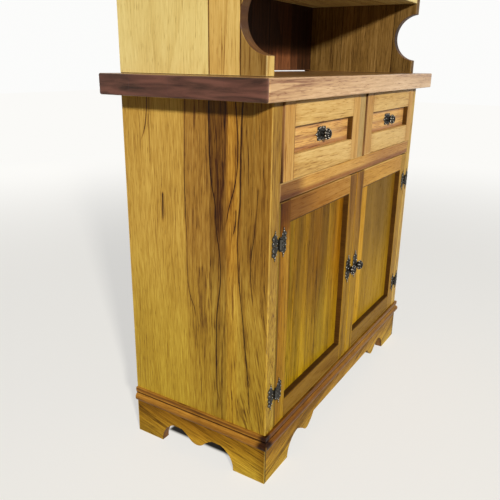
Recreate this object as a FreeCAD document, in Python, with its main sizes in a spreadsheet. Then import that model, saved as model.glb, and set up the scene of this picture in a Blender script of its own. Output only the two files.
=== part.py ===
import FreeCAD, Part
import os
import re
import Sketcher

# Dresser with hutch.
#
# A base cabinet with two drawers over two framed doors stands on a bracket-foot plinth and
# carries an overhanging worktop; an open hutch of two side boards and shelves stands on that.
#
# Millimetres. X runs to the right, Y to the back, Z up. The origin is the middle of the
# footprint on the floor: the worktop is the widest and deepest piece and is centred on it.
# Left-hand pieces are modelled, and right-hand ones are their mirror images in the plane X = 0.

doc = FreeCAD.newDocument("DresserWithHutch")
sheet = doc.addObject("Spreadsheet::Sheet", "Sizes")
# Driving dimensions
SIZES = {
    # Carcass
    "carcass_width": 908,           # over the two side panels
    "carcass_depth": 380,           # front of the posts to the back
    "side_thickness": 28,           # side panels
    "post_width": 36,               # front posts, across the front
    "post_depth": 41,               # front posts, front to back
    "post_arris": 4,                # radius on the outer front corner of a post
    "rail_thickness": 22,           # rails and muntin, front to back
    "bottom_rail_height": 37.5,     # bottom rail
    "mid_rail_height": 37,          # rail between doors and drawers
    "muntin_width": 44,             # upright between the drawers
    "drawer_opening": 160.5,        # height of the drawer openings
    "board_thickness": 18,          # cupboard floor, shelf and drawer deck
    "back_thickness": 10,           # base back panel
    "rebate_width": 12,             # rebate in a side panel for the back panel
    "eased_edge": 1.2,              # chamfer on the edges of boards
    "shelf_height": 397,            # underside of the cupboard shelf
    "shelf_setback": 20,            # shelf front behind the posts
    "shelf_play": 1,                # gap round the loose shelf
    "cleat_width": 15,              # shelf cleats, across
    "cleat_height": 20,             # shelf cleats, upright
    "stop_length": 160,             # door stop behind the mid rail
    "stop_height": 16,              # door stop
    "stop_depth": 20,               # door stop
    "stop_gap": 0.3,                # door stop behind the closed doors
    # Worktop
    "worktop_height": 900,          # top face above the floor
    "worktop_thickness": 42.5,      # worktop
    "worktop_side_overhang": 65,    # beyond each side
    "worktop_front_overhang": 27,   # beyond the front
    "worktop_corner": 5,            # radius of the upright corners
    "worktop_arris": 3.5,           # radius of the long edges
    # Plinth and base moulding
    "plinth_height": 92,            # plinth boards
    "plinth_thickness": 22,         # plinth boards
    "plinth_proud": 1.5,            # plinth face before the carcass face
    "apron_clearance": 52,          # floor to the straight apron
    "front_foot": 113,              # front foot at the floor, from the corner
    "front_foot_curve": 51,         # radius of the front foot's inner curve
    "front_pendant_reach": 238,     # middle of the carcass to a front pendant's lowest point
    "front_pendant_drop": 29.5,     # apron to a front pendant's lowest point
    "front_pendant_outer": 53,      # pendant's lowest point to the foot's curve
    "front_pendant_inner": 40,      # pendant's lowest point to the straight apron
    "side_arch_span": 215,          # between the side feet at the floor
    "side_arch_centre": 15.5,       # middle of the side arch, behind the origin
    "side_arch_clearance": 56,      # floor to the top of a side arch
    "side_arch_shoulder": 36,       # foot to the top of its arch, along the board
    "side_pendant_half": 46,        # half width of the side pendant at its top
    "side_pendant_drop": 28,        # arch top to the side pendant's lowest point
    "back_plinth_height": 40,       # back plinth rail
    "block_width": 28,              # glue blocks in the plinth corners
    "block_height": 64,             # glue blocks
    "moulding_height": 38,          # base moulding
    "moulding_depth": 10,           # base moulding at its bead
    "bead_height": 21,              # bead of the base moulding
    "bead_foot": 4,                 # depth of the moulding under its bead
    "fillet_depth": 6,              # depth of the moulding's top fillet
    # Doors and drawer fronts
    "door_gap": 2.5,                # gap round doors and drawer fronts
    "door_thickness": 26,           # door frame
    "door_stile": 46,               # door stiles
    "door_rail": 47.5,              # door rails
    "door_recess": 15,              # door face to its panel
    "drawer_front_thickness": 22,   # drawer front frame
    "drawer_front_proud": 4,        # drawer face before the posts
    "drawer_stile": 44,             # drawer front stiles
    "drawer_rail": 50,              # drawer front rails
    "drawer_recess": 13,            # drawer face to its panel
    "panel_thickness": 6,           # recessed panels and the grooves that hold them
    "groove_depth": 9,              # grooves in stiles and rails
    "panel_play": 1,                # room for a panel to move in its groove
    # Drawer boxes and what they run on
    "drawer_depth": 347,            # box, behind the front
    "drawer_side_height": 125,      # box sides
    "drawer_side_thickness": 12,    # box sides and back
    "drawer_bottom_thickness": 6,   # box bottom
    "drawer_bottom_lift": 8,        # box bottom above the lower edge of the sides
    "drawer_bottom_groove": 6,      # groove for the bottom
    "running_gap": 0.3,             # box to deck and guides
    "kicker_gap": 1,                # box sides to the kickers
    "guide_height": 20,             # drawer guides
    "kicker_width": 26,             # side kickers
    "centre_kicker_width": 80,      # kicker between the drawers
    "kicker_setback": 28,           # kickers behind the front of the posts
    # Hardware
    "pin_radius": 1.5,              # hinge pin
    "pin_play": 0.05,               # pin to knuckle
    "pin_finial_radius": 2.6,       # ball on each end of a hinge pin
    "knuckle_radius": 3.5,          # hinge knuckle
    "knuckle_proud": 4,             # pin axis before the door face
    "knuckle_length": 22,           # all three knuckles
    "middle_knuckle": 7.6,          # the door leaf's knuckle
    "knuckle_play": 0.4,            # between knuckles
    "leaf_thickness": 1.6,          # hinge leaf
    "leaf_width": 30,               # pin axis to the leaf's lobes
    "leaf_height": 70,              # leaf from finial to finial
    "leaf_piercing": 3,             # radius of the round piercings
    "lower_hinge": 220,             # height of the lower hinges
    "upper_hinge": 572,             # height of the upper hinges
    "plate_thickness": 1.5,         # knob plates
    "door_plate_length": 80,        # door knob plate
    "door_plate_width": 28,         # door knob plate
    "drawer_plate_length": 62,      # drawer knob plate
    "drawer_plate_width": 32,       # drawer knob plate
    "knob_radius": 12,              # knob
    "knob_length": 23,              # knob from plate to face
    "knob_collar": 7,               # radius of the knob's collar
    "knob_neck": 4.5,               # radius of the knob's neck
    "knob_rim": 5.8,                # radius of the knob's rounded edge
    "knob_dome": 16,                # radius of the knob's domed face
    "door_knob_height": 398,        # door knobs above the floor
    # Hutch
    "hutch_side_thickness": 28,     # side boards
    "hutch_setback": 15.7,          # hutch front behind the posts
    "hutch_height": 1000,           # worktop to the top of the hutch
    "cutout_radius": 66,            # C-shaped cut-out in a side board
    "cutout_height": 103,           # its centre above the worktop
    "cutout_offset": 6.7,           # its centre before the board's front edge
    "hutch_back_thickness": 22,     # back boards
    "hutch_back_lift": 3,           # back boards above the worktop
    "lower_shelf_height": 198,      # worktop to the underside of the lower shelf
    "lower_shelf_thickness": 25,    # lower shelf
    "upper_shelf_height": 545,      # worktop to the underside of the upper shelf
    "upper_shelf_thickness": 22,    # upper shelf
    "top_thickness": 28,            # top board
    "top_overhang": 40,             # top board beyond sides and front
    "top_arris": 4,                 # radius of the top board's long edges
    "frieze_height": 80,            # frieze rail under the top board
    "cornice_height": 42,           # cornice
    "cornice_depth": 30,            # cornice at its top
    "cornice_foot": 8,              # cornice at its lower bead
    "cornice_bead": 10,             # height of the cornice's lower bead
    "cornice_lip": 9,               # height of the cornice's flat upper lip
}
for row, (alias, value) in enumerate(SIZES.items(), 1):
    sheet.set(f"A{row}", alias)
    sheet.set(f"B{row}", str(value))
    sheet.setAlias(f"B{row}", alias)
doc.recompute()

# Derived places, as formulas on the sheet
FRONT = "((worktop_front_overhang - carcass_depth) / 2)"
BACK = "((carcass_depth + worktop_front_overhang) / 2)"
HALF = "(carcass_width / 2)"
INNER = f"({HALF} - side_thickness)"
OPENING = f"({HALF} - post_width)"
POST_BACK = f"({FRONT} + post_depth)"
RAIL_BACK = f"({FRONT} + rail_thickness)"
BACK_FACE = f"({BACK} - back_thickness)"
CARCASS_TOP = "(worktop_height - worktop_thickness)"
CARCASS_HEIGHT = f"({CARCASS_TOP} - plinth_height)"
FLOOR_TOP = "(plinth_height + bottom_rail_height)"
DECK_TOP = f"({CARCASS_TOP} - drawer_opening)"
MID_RAIL_BOTTOM = f"({DECK_TOP} - mid_rail_height)"
PLINTH_HALF = f"({HALF} + plinth_proud)"
PLINTH_FRONT = f"({FRONT} - plinth_proud)"

DOOR_OUTER = f"({OPENING} - door_gap)"
DOOR_WIDTH = f"({DOOR_OUTER} - door_gap / 2)"
DOOR_BOTTOM = f"({FLOOR_TOP} + door_gap)"
DOOR_HEIGHT = f"({MID_RAIL_BOTTOM} - door_gap - {DOOR_BOTTOM})"
DOOR_BACK = f"({FRONT} + door_thickness)"

DRAWER_INNER = "(muntin_width / 2 + door_gap)"
DRAWER_WIDTH = f"({DOOR_OUTER} - {DRAWER_INNER})"
DRAWER_BOTTOM = f"({DECK_TOP} + door_gap)"
DRAWER_HEIGHT = "(drawer_opening - 2 * door_gap)"
DRAWER_FRONT = f"({FRONT} - drawer_front_proud)"
BOX_FRONT = f"({DRAWER_FRONT} + drawer_front_thickness)"
BOX_BOTTOM = f"({DECK_TOP} + running_gap)"

HUTCH_FRONT = f"({FRONT} + hutch_setback)"
HUTCH_INNER = f"({HALF} - hutch_side_thickness)"
HUTCH_TOP = "(worktop_height + hutch_height)"
TOP_UNDERSIDE = f"({HUTCH_TOP} - top_thickness)"
HUTCH_BACK_FACE = f"({BACK} - hutch_back_thickness)"


def formula(text):
    """The text as an expression on the sheet: each size it names gets the sheet's prefix."""
    def prefixed(word):
        return "Sizes." + word.group() if word.group() in SIZES else word.group()
    return re.sub(r"[a-z_]+", prefixed, str(text))


def number(text):
    """The value of a formula."""
    return float(sheet.evalExpression(formula(text)))


# Building blocks

def new_body(label, corner=("0", "0", "0")):
    """A body whose own origin lies at the corner."""
    body = doc.addObject("PartDesign::Body", label)
    body.Label = label
    for axis, place in zip("xyz", corner):
        body.setExpression(f"Placement.Base.{axis}", formula(place))
    return body


def new_sketch(body, plane):
    """A sketch on one of the body's own origin planes: XY, XZ or YZ."""
    sketch = body.newObject("Sketcher::SketchObject", "Sketch")
    role = plane + "_Plane"
    support = [feature for feature in body.Origin.OriginFeatures if feature.Role == role][0]
    sketch.AttachmentSupport = [(support, "")]
    sketch.MapMode = "FlatFace"
    return sketch


def rectangle(sketch, width, depth):
    """A rectangle from the sketch's origin, its two sizes bound to the sheet."""
    wide, deep = number(width), number(depth)
    corners = [(0, 0), (wide, 0), (wide, deep), (0, deep)]
    points = [FreeCAD.Vector(*corner, 0) for corner in corners]
    for index in range(4):
        sketch.addGeometry(Part.LineSegment(points[index], points[(index + 1) % 4]), False)
    for index in range(4):
        sketch.addConstraint(Sketcher.Constraint("Coincident", index, 2, (index + 1) % 4, 1))
        direction = "Horizontal" if index % 2 == 0 else "Vertical"
        sketch.addConstraint(Sketcher.Constraint(direction, index))
    sketch.addConstraint(Sketcher.Constraint("Coincident", 0, 1, -1, 1))
    for name, line, kind, value, bound in (("Width", 0, "DistanceX", wide, width),
                                           ("Depth", 1, "DistanceY", deep, depth)):
        index = sketch.addConstraint(Sketcher.Constraint(kind, line, 1, line, 2, value))
        sketch.renameConstraint(index, name)
        sketch.setExpression(f"Constraints.{name}", formula(bound))


def outline(sketch, path):
    """A closed outline: each item is a corner (u, v), or (via, corner) for an arc to it."""
    via = [item[0] if isinstance(item[0], tuple) else None for item in path]
    ends = [item[1] if isinstance(item[0], tuple) else item for item in path]
    points = [FreeCAD.Vector(number(u), number(v), 0) for u, v in ends]
    for index, end in enumerate(points):
        start = points[index - 1]
        if via[index] is None:
            sketch.addGeometry(Part.LineSegment(start, end), False)
        else:
            middle = FreeCAD.Vector(number(via[index][0]), number(via[index][1]), 0)
            sketch.addGeometry(Part.Arc(start, middle, end), False)


def negated(text):
    """The formula with the opposite sign."""
    return f"(-({text}))"


def mirrored_path(path, both=(True, False)):
    """The same path run backwards and mirrored: in u when both[0], in v when both[1]."""
    def flip(point):
        return tuple(negated(text) if turn else text for text, turn in zip(point, both))
    via = [item[0] if isinstance(item[0], tuple) else None for item in path]
    ends = [item[1] if isinstance(item[0], tuple) else item for item in path]
    result = [flip(ends[-1])]
    for index in range(len(path) - 1, 0, -1):
        end = flip(ends[index - 1])
        result.append(end if via[index] is None else (flip(via[index]), end))
    return result


def circle(sketch, u, v, radius):
    """A full circle in a sketch, its radius bound to the sheet."""
    centre = FreeCAD.Vector(number(u), number(v), 0)
    round_edge = Part.Circle(centre, FreeCAD.Vector(0, 0, 1), number(radius))
    index = sketch.addGeometry(round_edge, False)
    constraint = sketch.addConstraint(Sketcher.Constraint("Radius", index, number(radius)))
    sketch.setExpression(f"Constraints[{constraint}]", formula(radius))


def pad(body, sketch, length, side="One side", backwards=False):
    """Raise a sketch into the body by a length on the sheet."""
    feature = body.newObject("PartDesign::Pad", "Pad")
    feature.Profile = sketch
    feature.SideType = side
    feature.Reversed = backwards
    feature.setExpression("Length", formula(length))
    return feature


def cut_through(body, sketch):
    """Cut a sketch right through the body, both ways from the sketch's plane."""
    doc.recompute()
    before = body.Shape.Volume
    feature = body.newObject("PartDesign::Pocket", "Pocket")
    feature.Profile = sketch
    feature.Type = "ThroughAll"
    feature.SideType = "Symmetric"
    doc.recompute()
    if body.Shape.Volume >= before:
        raise RuntimeError(f"the cut in {body.Label} removes nothing")
    return feature


def ease_edges(body, feature, width="eased_edge"):
    """Chamfer every edge of the body."""
    chamfer = body.newObject("PartDesign::Chamfer", "Chamfer")
    chamfer.Base = (feature, [""])
    chamfer.UseAllEdges = True
    chamfer.setExpression("Size", formula(width))
    return chamfer


def board(label, corner, extent):
    """A plain board with eased edges, from its lowest corner and its three sizes."""
    body = new_body(label, corner)
    sketch = new_sketch(body, "XY")
    rectangle(sketch, extent[0], extent[1])
    ease_edges(body, pad(body, sketch, extent[2]))
    return body


def group(label, members):
    """Separate solids of one kind that share a node."""
    together = doc.addObject("Part::Compound", label)
    together.Label = label
    together.Links = members
    return together


def mirrored(source):
    """The right-hand twin of a left-hand piece."""
    label = source.Label.replace("left", "right")
    twin = doc.addObject("Part::Mirroring", label)
    twin.Label = label
    twin.Source = source
    twin.Normal = (1, 0, 0)
    return twin


def both_sides(pieces):
    """Left-hand pieces followed by their right-hand twins."""
    return pieces + [mirrored(piece) for piece in pieces]


# Carcass

def side_panel():
    """The left side panel, rebated at the back for the back panel."""
    body = new_body("left_side_panel", (f"-{HALF}", POST_BACK, "plinth_height"))
    sketch = new_sketch(body, "XY")
    depth = f"({BACK} - {POST_BACK})"
    shoulder = f"({depth} - back_thickness)"
    lip = "side_thickness - rebate_width"
    outline(sketch, [("0", "0"), ("side_thickness", "0"), ("side_thickness", shoulder),
                     (lip, shoulder), (lip, depth), ("0", depth)])
    pad(body, sketch, CARCASS_HEIGHT)
    return body


def front_post():
    """The left front post, rounded on its outer front corner."""
    body = new_body("left_front_post", (f"-{HALF}", FRONT, "plinth_height"))
    sketch = new_sketch(body, "XY")
    round_in = "post_arris * (1 - sqrt(0.5))"
    outline(sketch, [("0", "post_depth"), ("0", "post_arris"),
                     ((round_in, round_in), ("post_arris", "0")),
                     ("post_width - eased_edge", "0"), ("post_width", "eased_edge"),
                     ("post_width", "post_depth")])
    pad(body, sketch, CARCASS_HEIGHT)
    return body


def full_board(label, top):
    """A board over the whole inside of the carcass, notched round the front posts."""
    body = new_body(label, ("0", "0", f"{top} - board_thickness"))
    sketch = new_sketch(body, "XY")
    left_half = [(f"-{INNER}", BACK_FACE), (f"-{INNER}", POST_BACK),
                 (f"-{OPENING}", POST_BACK), (f"-{OPENING}", RAIL_BACK)]
    outline(sketch, left_half + mirrored_path(left_half))
    pad(body, sketch, "board_thickness")
    return body


def between_posts(label, bottom, height):
    """A rail between the front posts."""
    return board(label, (f"-{OPENING}", FRONT, bottom), (f"2 * {OPENING}", "rail_thickness", height))


def cupboard_shelf():
    """The loose shelf in the cupboard."""
    front = f"({POST_BACK} + shelf_setback)"
    depth = f"{BACK_FACE} - shelf_play - {front}"
    return board("cupboard_shelf",
                 (f"shelf_play - {INNER}", front, "shelf_height"),
                 (f"2 * ({INNER} - shelf_play)", depth, "board_thickness"))


def shelf_cleats():
    """The two strips on the side panels that the shelf rests on."""
    front = f"({POST_BACK} + shelf_setback)"
    left = board("left_shelf_cleat",
                 (f"-{INNER}", front, "shelf_height - cleat_height"),
                 ("cleat_width", f"{BACK_FACE} - {front}", "cleat_height"))
    return group("shelf_cleats", both_sides([left]))


def door_stop():
    """The strip behind the mid rail that both doors close against."""
    bottom = f"{DECK_TOP} - board_thickness - stop_height"
    return board("door_stop",
                 ("-stop_length / 2", f"{DOOR_BACK} + stop_gap", bottom),
                 ("stop_length", "stop_depth", "stop_height"))


def drawer_guides():
    """Strips on the deck that keep the drawers straight: one between them, one at each side."""
    half = f"({DRAWER_INNER} - running_gap)"
    centre = board("centre_drawer_guide", (f"-{half}", RAIL_BACK, DECK_TOP),
                   (f"2 * {half}", f"{BACK_FACE} - {RAIL_BACK}", "guide_height"))
    left = board("left_drawer_guide", (f"-{INNER}", POST_BACK, DECK_TOP),
                 (f"{INNER} - {DOOR_OUTER} - running_gap", f"{BACK_FACE} - {POST_BACK}", "guide_height"))
    return group("drawer_guides", [centre] + both_sides([left]))


def drawer_kickers():
    """Strips under the worktop that stop an open drawer from tipping."""
    bottom = f"({BOX_BOTTOM} + drawer_side_height + kicker_gap)"
    front = f"({FRONT} + kicker_setback)"
    height = f"{CARCASS_TOP} - {bottom}"
    centre = board("centre_kicker", ("-centre_kicker_width / 2", front, bottom),
                   ("centre_kicker_width", f"{BACK_FACE} - {front}", height))
    left = board("left_kicker", (f"-{INNER}", POST_BACK, bottom),
                 ("kicker_width", f"{BACK_FACE} - {POST_BACK}", height))
    return group("drawer_kickers", [centre] + both_sides([left]))


def base_back_panel():
    """The panel in the rebates of the side panels."""
    half = f"({INNER} + rebate_width)"
    return board("base_back_panel", (f"-{half}", BACK_FACE, "plinth_height"),
                 (f"2 * {half}", "back_thickness", CARCASS_HEIGHT))


def rounded_top(label, half_width, front, bottom, thickness, corner, arris):
    """A top with rounded upright corners and rounded long edges."""
    body = new_body(label, (f"-({half_width})", front, bottom))
    sketch = new_sketch(body, "XY")
    rectangle(sketch, f"2 * ({half_width})", f"{BACK} - ({front})")
    base = pad(body, sketch, thickness)
    doc.recompute()
    upright = [f"Edge{index}" for index, edge in enumerate(base.Shape.Edges, 1)
               if edge.BoundBox.ZLength > number(thickness) / 2]
    corners = body.newObject("PartDesign::Fillet", "Corners")
    corners.Base = (base, upright)
    corners.setExpression("Radius", formula(corner))
    doc.recompute()
    flat = [f"Edge{index}" for index, edge in enumerate(corners.Shape.Edges, 1)
            if edge.BoundBox.ZLength < number(thickness) / 2]
    edges = body.newObject("PartDesign::Fillet", "Edges")
    edges.Base = (corners, flat)
    edges.setExpression("Radius", formula(arris))
    return body


def carcass():
    """Everything fixed in the base cabinet above the plinth."""
    return both_sides([side_panel(), front_post()]) + [
        between_posts("bottom_rail", "plinth_height", "bottom_rail_height"),
        between_posts("mid_rail", MID_RAIL_BOTTOM, "mid_rail_height"),
        board("centre_muntin", ("-muntin_width / 2", FRONT, DECK_TOP),
              ("muntin_width", "rail_thickness", "drawer_opening")),
        full_board("cupboard_floor", FLOOR_TOP),
        full_board("drawer_deck", DECK_TOP),
        cupboard_shelf(),
        shelf_cleats(),
        door_stop(),
        drawer_guides(),
        drawer_kickers(),
        base_back_panel(),
        rounded_top("worktop", f"{HALF} + worktop_side_overhang", f"{FRONT} - worktop_front_overhang",
                    CARCASS_TOP, "worktop_thickness", "worktop_corner", "worktop_arris")]


# Plinth and mouldings

def quarter(u, v, radius):
    """The middle of a quarter circle that rises to the right from (u, v)."""
    return (f"{u} + {radius} * (1 - sqrt(0.5))", f"{v} + {radius} * sqrt(0.5)")


def front_plinth():
    """The front board: two bracket feet, a rounded pendant beside each, a straight apron."""
    body = new_body("front_plinth", ("0", PLINTH_FRONT, "0"))
    sketch = new_sketch(body, "XZ")
    inner_foot = f"(front_foot - {PLINTH_HALF})"
    cusp = f"(-front_pendant_reach - front_pendant_outer)"
    apron_end = f"(front_pendant_inner - front_pendant_reach)"
    low = "(apron_clearance - front_pendant_drop)"
    left_half = [
        (f"-{PLINTH_HALF}", "plinth_height"), (f"-{PLINTH_HALF}", "0"), (inner_foot, "0"),
        (quarter(inner_foot, "0", "front_foot_curve"), (cusp, "apron_clearance")),
        ((f"{cusp} + 0.5 * front_pendant_outer", f"{low} + 0.5 * front_pendant_drop"),
         ("-front_pendant_reach - 0.2 * front_pendant_outer", f"{low} + 0.1 * front_pendant_drop")),
        (("-front_pendant_reach", low),
         ("-front_pendant_reach + 0.28 * front_pendant_inner", f"{low} + 0.1 * front_pendant_drop")),
        (("-front_pendant_reach + 0.68 * front_pendant_inner", f"{low} + 0.5 * front_pendant_drop"),
         (apron_end, "apron_clearance"))]
    outline(sketch, left_half + mirrored_path(left_half))
    pad(body, sketch, "plinth_thickness", backwards=True)
    mitre = new_sketch(body, "XY")
    outline(mitre, [(f"-{PLINTH_HALF}", "0"), (f"-{PLINTH_HALF}", "plinth_thickness"),
                    (f"plinth_thickness - {PLINTH_HALF}", "plinth_thickness")])
    outline(mitre, [(PLINTH_HALF, "0"), (PLINTH_HALF, "plinth_thickness"),
                    (f"{PLINTH_HALF} - plinth_thickness", "plinth_thickness")])
    cut_through(body, mitre)
    return body


def side_plinth():
    """The left board: two feet, two arches and a rounded pendant between them."""
    body = new_body("left_plinth", (f"-{PLINTH_HALF}", "side_arch_centre", "0"))
    sketch = new_sketch(body, "YZ")
    front = f"({PLINTH_FRONT} - side_arch_centre)"
    back = f"({BACK} - side_arch_centre)"
    low = "(side_arch_clearance - side_pendant_drop)"
    foot = "(-side_arch_span / 2)"
    front_arch = [
        (foot, "0"),
        ((f"{foot} + 0.27 * side_arch_shoulder", "0.62 * side_arch_clearance"),
         (f"{foot} + side_arch_shoulder", "side_arch_clearance")),
        ("-side_pendant_half", "side_arch_clearance"),
        (("-0.7 * side_pendant_half", f"{low} + 0.7 * side_pendant_drop"),
         ("-0.44 * side_pendant_half", f"{low} + 0.3 * side_pendant_drop")),
        (("-0.24 * side_pendant_half", f"{low} + 0.08 * side_pendant_drop"), ("0", low))]
    outline(sketch, [(front, "plinth_height"), (front, "0")] + front_arch
            + mirrored_path(front_arch)[1:] + [(back, "0"), (back, "plinth_height")])
    pad(body, sketch, "plinth_thickness")
    mitre = new_sketch(body, "XY")
    outline(mitre, [("0", front), ("plinth_thickness", front),
                    ("plinth_thickness", f"{front} + plinth_thickness")])
    cut_through(body, mitre)
    return body


def back_plinth_rail():
    """The plain rail between the side plinths at the back."""
    half = f"({PLINTH_HALF} - plinth_thickness)"
    return board("back_plinth_rail",
                 (f"-{half}", f"{BACK} - plinth_thickness", "plinth_height - back_plinth_height"),
                 (f"2 * {half}", "plinth_thickness", "back_plinth_height"))


def glue_blocks():
    """A block in each corner of the plinth."""
    inner = f"({PLINTH_HALF} - plinth_thickness)"
    fronts = (f"{PLINTH_FRONT} + plinth_thickness", f"{BACK} - plinth_thickness - block_width")
    left = [board(f"{name}_left_block", (f"-{inner}", front, "plinth_height - block_height"),
                  ("block_width", "block_width", "block_height"))
            for name, front in zip(("front", "back"), fronts)]
    return group("plinth_glue_blocks", both_sides(left))


def mitred_strips(label, profile, half_width, front, bottom, depth):
    """A moulding round the front and both sides, mitred at the front corners.

    The profile's u runs outwards from the face that carries the moulding, and v upwards.
    """
    across = new_body(f"front_{label}", ("0", front, bottom))
    sketch = new_sketch(across, "YZ")
    outline(sketch, [flipped_item(item) for item in profile])
    pad(across, sketch, f"2 * ({half_width} + {depth})", "Symmetric")
    mitre = new_sketch(across, "XY")
    for sign in ("-", ""):
        outline(mitre, [(f"{sign}{half_width}", "0"), (f"{sign}({half_width} + {depth})", f"-{depth}"),
                        (f"{sign}({half_width} + {depth})", "0")])
    cut_through(across, mitre)

    along = new_body(f"left_{label}", (f"-{half_width}", BACK, bottom))
    sketch = new_sketch(along, "XZ")
    outline(sketch, [flipped_item(item) for item in profile])
    length = f"({BACK} - ({front}))"
    pad(along, sketch, f"{length} + {depth}")
    mitre = new_sketch(along, "XY")
    outline(mitre, [("0", f"-{length}"), (f"-{depth}", f"-{length} - {depth}"),
                    ("0", f"-{length} - {depth}")])
    cut_through(along, mitre)
    return group(f"{label}s", [across] + both_sides([along]))


def flipped_item(item):
    """An outline item with u counted the other way."""
    if isinstance(item[0], tuple):
        return tuple((negated(u), v) for u, v in item)
    return (negated(item[0]), item[1])


def base_moulding():
    """Bead, cove and square fillet, from the bottom up."""
    cove_top = "(bead_height + fillet_depth)"
    profile = [
        ("0", "0"), ("bead_foot", "0"),
        (("moulding_depth", "bead_height / 2"), ("bead_foot", "bead_height")),
        (("bead_foot + 0.1 * fillet_depth", "bead_height + 0.6 * fillet_depth"),
         ("fillet_depth", cove_top)),
        ("fillet_depth", "moulding_height - eased_edge"),
        ("fillet_depth - eased_edge", "moulding_height"), ("0", "moulding_height")]
    return mitred_strips("base_moulding", profile, HALF, FRONT, "plinth_height", "moulding_depth")


def cornice():
    """Bead, wide cove and flat lip, from the bottom up."""
    lip = "(cornice_height - cornice_lip)"
    profile = [
        ("0", "0"), ("cornice_foot / 2", "0"),
        (("cornice_foot", "cornice_bead / 2"), ("cornice_foot / 2", "cornice_bead")),
        (("cornice_foot + 0.16 * cornice_depth", f"cornice_bead + 0.72 * ({lip} - cornice_bead)"),
         ("cornice_depth - eased_edge", lip)),
        ("cornice_depth", lip), ("cornice_depth", "cornice_height"), ("0", "cornice_height")]
    bottom = f"{TOP_UNDERSIDE} - cornice_height"
    return mitred_strips("cornice_strip", profile, HALF, HUTCH_FRONT, bottom, "cornice_depth")


def plinth():
    """The bracket-foot plinth and the moulding above it."""
    return both_sides([side_plinth()]) + [
        front_plinth(), back_plinth_rail(), glue_blocks(), base_moulding()]


# Framed fronts, for doors and drawers

def stile(label, corner, width, thickness, height, recess, groove_on_right):
    """An upright of a framed front, grooved along its inner edge for the panel."""
    body = new_body(label, corner)
    sketch = new_sketch(body, "XY")
    path = [("0", "eased_edge"), ("eased_edge", "0"), (f"{width} - eased_edge", "0"),
            (width, "eased_edge"), (width, recess), (f"{width} - groove_depth", recess),
            (f"{width} - groove_depth", f"{recess} + panel_thickness"),
            (width, f"{recess} + panel_thickness"), (width, thickness), ("0", thickness)]
    if not groove_on_right:
        path = [(f"{width} - ({u})", v) for u, v in path]
    outline(sketch, path)
    pad(body, sketch, height)
    return body


def rail(label, corner, width, thickness, height, recess, groove_on_top):
    """A cross-piece of a framed front: grooved for the panel, with stub tenons in the stiles."""
    body = new_body(label, corner)
    sketch = new_sketch(body, "YZ")
    path = [("0", "eased_edge"), ("0", f"{height} - eased_edge"), ("eased_edge", height),
            (recess, height), (recess, f"{height} - groove_depth"),
            (f"{recess} + panel_thickness", f"{height} - groove_depth"),
            (f"{recess} + panel_thickness", height), (thickness, height), (thickness, "0"),
            ("eased_edge", "0")]
    tenon = [(recess, "0"), (f"{recess} + panel_thickness", "0"),
             (f"{recess} + panel_thickness", f"{height} - groove_depth"),
             (recess, f"{height} - groove_depth")]
    if not groove_on_top:
        path = [(u, f"{height} - ({v})") for u, v in path]
        tenon = [(u, f"{height} - ({v})") for u, v in tenon]
    outline(sketch, path)
    pad(body, sketch, width, "Symmetric")
    tongue = new_sketch(body, "YZ")
    outline(tongue, tenon)
    pad(body, tongue, f"{width} + 2 * groove_depth", "Symmetric")
    return body


def framed_front(name, names, corner, width, height, thickness, stile_width, rail_width, recess):
    """Two stiles, two rails and the panel between them; names are those of the two stiles."""
    left, face, bottom = corner
    right = f"({left} + {width} - {stile_width})"
    middle = f"({left} + {width} / 2)"
    between = f"({width} - 2 * {stile_width})"
    opening = f"({height} - 2 * {rail_width})"
    hold = "(groove_depth - panel_play)"
    stiles = [stile(names[0], corner, stile_width, thickness, height, recess, True),
              stile(names[1], (right, face, bottom), stile_width, thickness, height, recess, False)]
    rails = [rail(f"{name}_bottom_rail", (middle, face, bottom), between, thickness, rail_width,
                  recess, True),
             rail(f"{name}_top_rail", (middle, face, f"{bottom} + {height} - {rail_width}"),
                  between, thickness, rail_width, recess, False)]
    corner = (f"{left} + {stile_width} - {hold}", f"{face} + {recess}",
              f"{bottom} + {rail_width} - {hold}")
    panel = board(f"{name}_panel", corner,
                  (f"{between} + 2 * {hold}", "panel_thickness", f"{opening} + 2 * {hold}"))
    return stiles, rails, panel


def dome(radius, across):
    """How far a dome has fallen at a distance from its middle."""
    return f"({radius} - sqrt({radius} * {radius} - ({across}) * ({across})))"


def turn(body, sketch):
    """Revolve a sketch about its own vertical axis."""
    turned = body.newObject("PartDesign::Revolution", "Revolution")
    turned.Profile = sketch
    turned.ReferenceAxis = (sketch, ["V_Axis"])
    turned.Angle = 360


def knob(label, x, face, z):
    """A turned knob on its plate: collar, neck and flattened ball."""
    body = new_body(label, (x, f"{face} - plate_thickness", z))
    sketch = new_sketch(body, "XY")
    flat = "(knob_radius - knob_rim)"
    rim_front = f"({dome('knob_dome', flat)} - knob_length)"
    outline(sketch, [
        ("0", "0"), ("knob_collar", "0"), ("knob_collar", "-0.08 * knob_length"),
        (("0.7 * knob_collar", "-0.11 * knob_length"), ("knob_neck", "-0.22 * knob_length")),
        ("knob_neck", f"{rim_front} + 2.1 * knob_rim"), (flat, f"{rim_front} + 2 * knob_rim"),
        (("knob_radius", f"{rim_front} + knob_rim"), (flat, rim_front)),
        ((f"{flat} / 2", f"{dome('knob_dome', flat + ' / 2')} - knob_length"), ("0", "-knob_length"))])
    turn(body, sketch)
    return body


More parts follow.
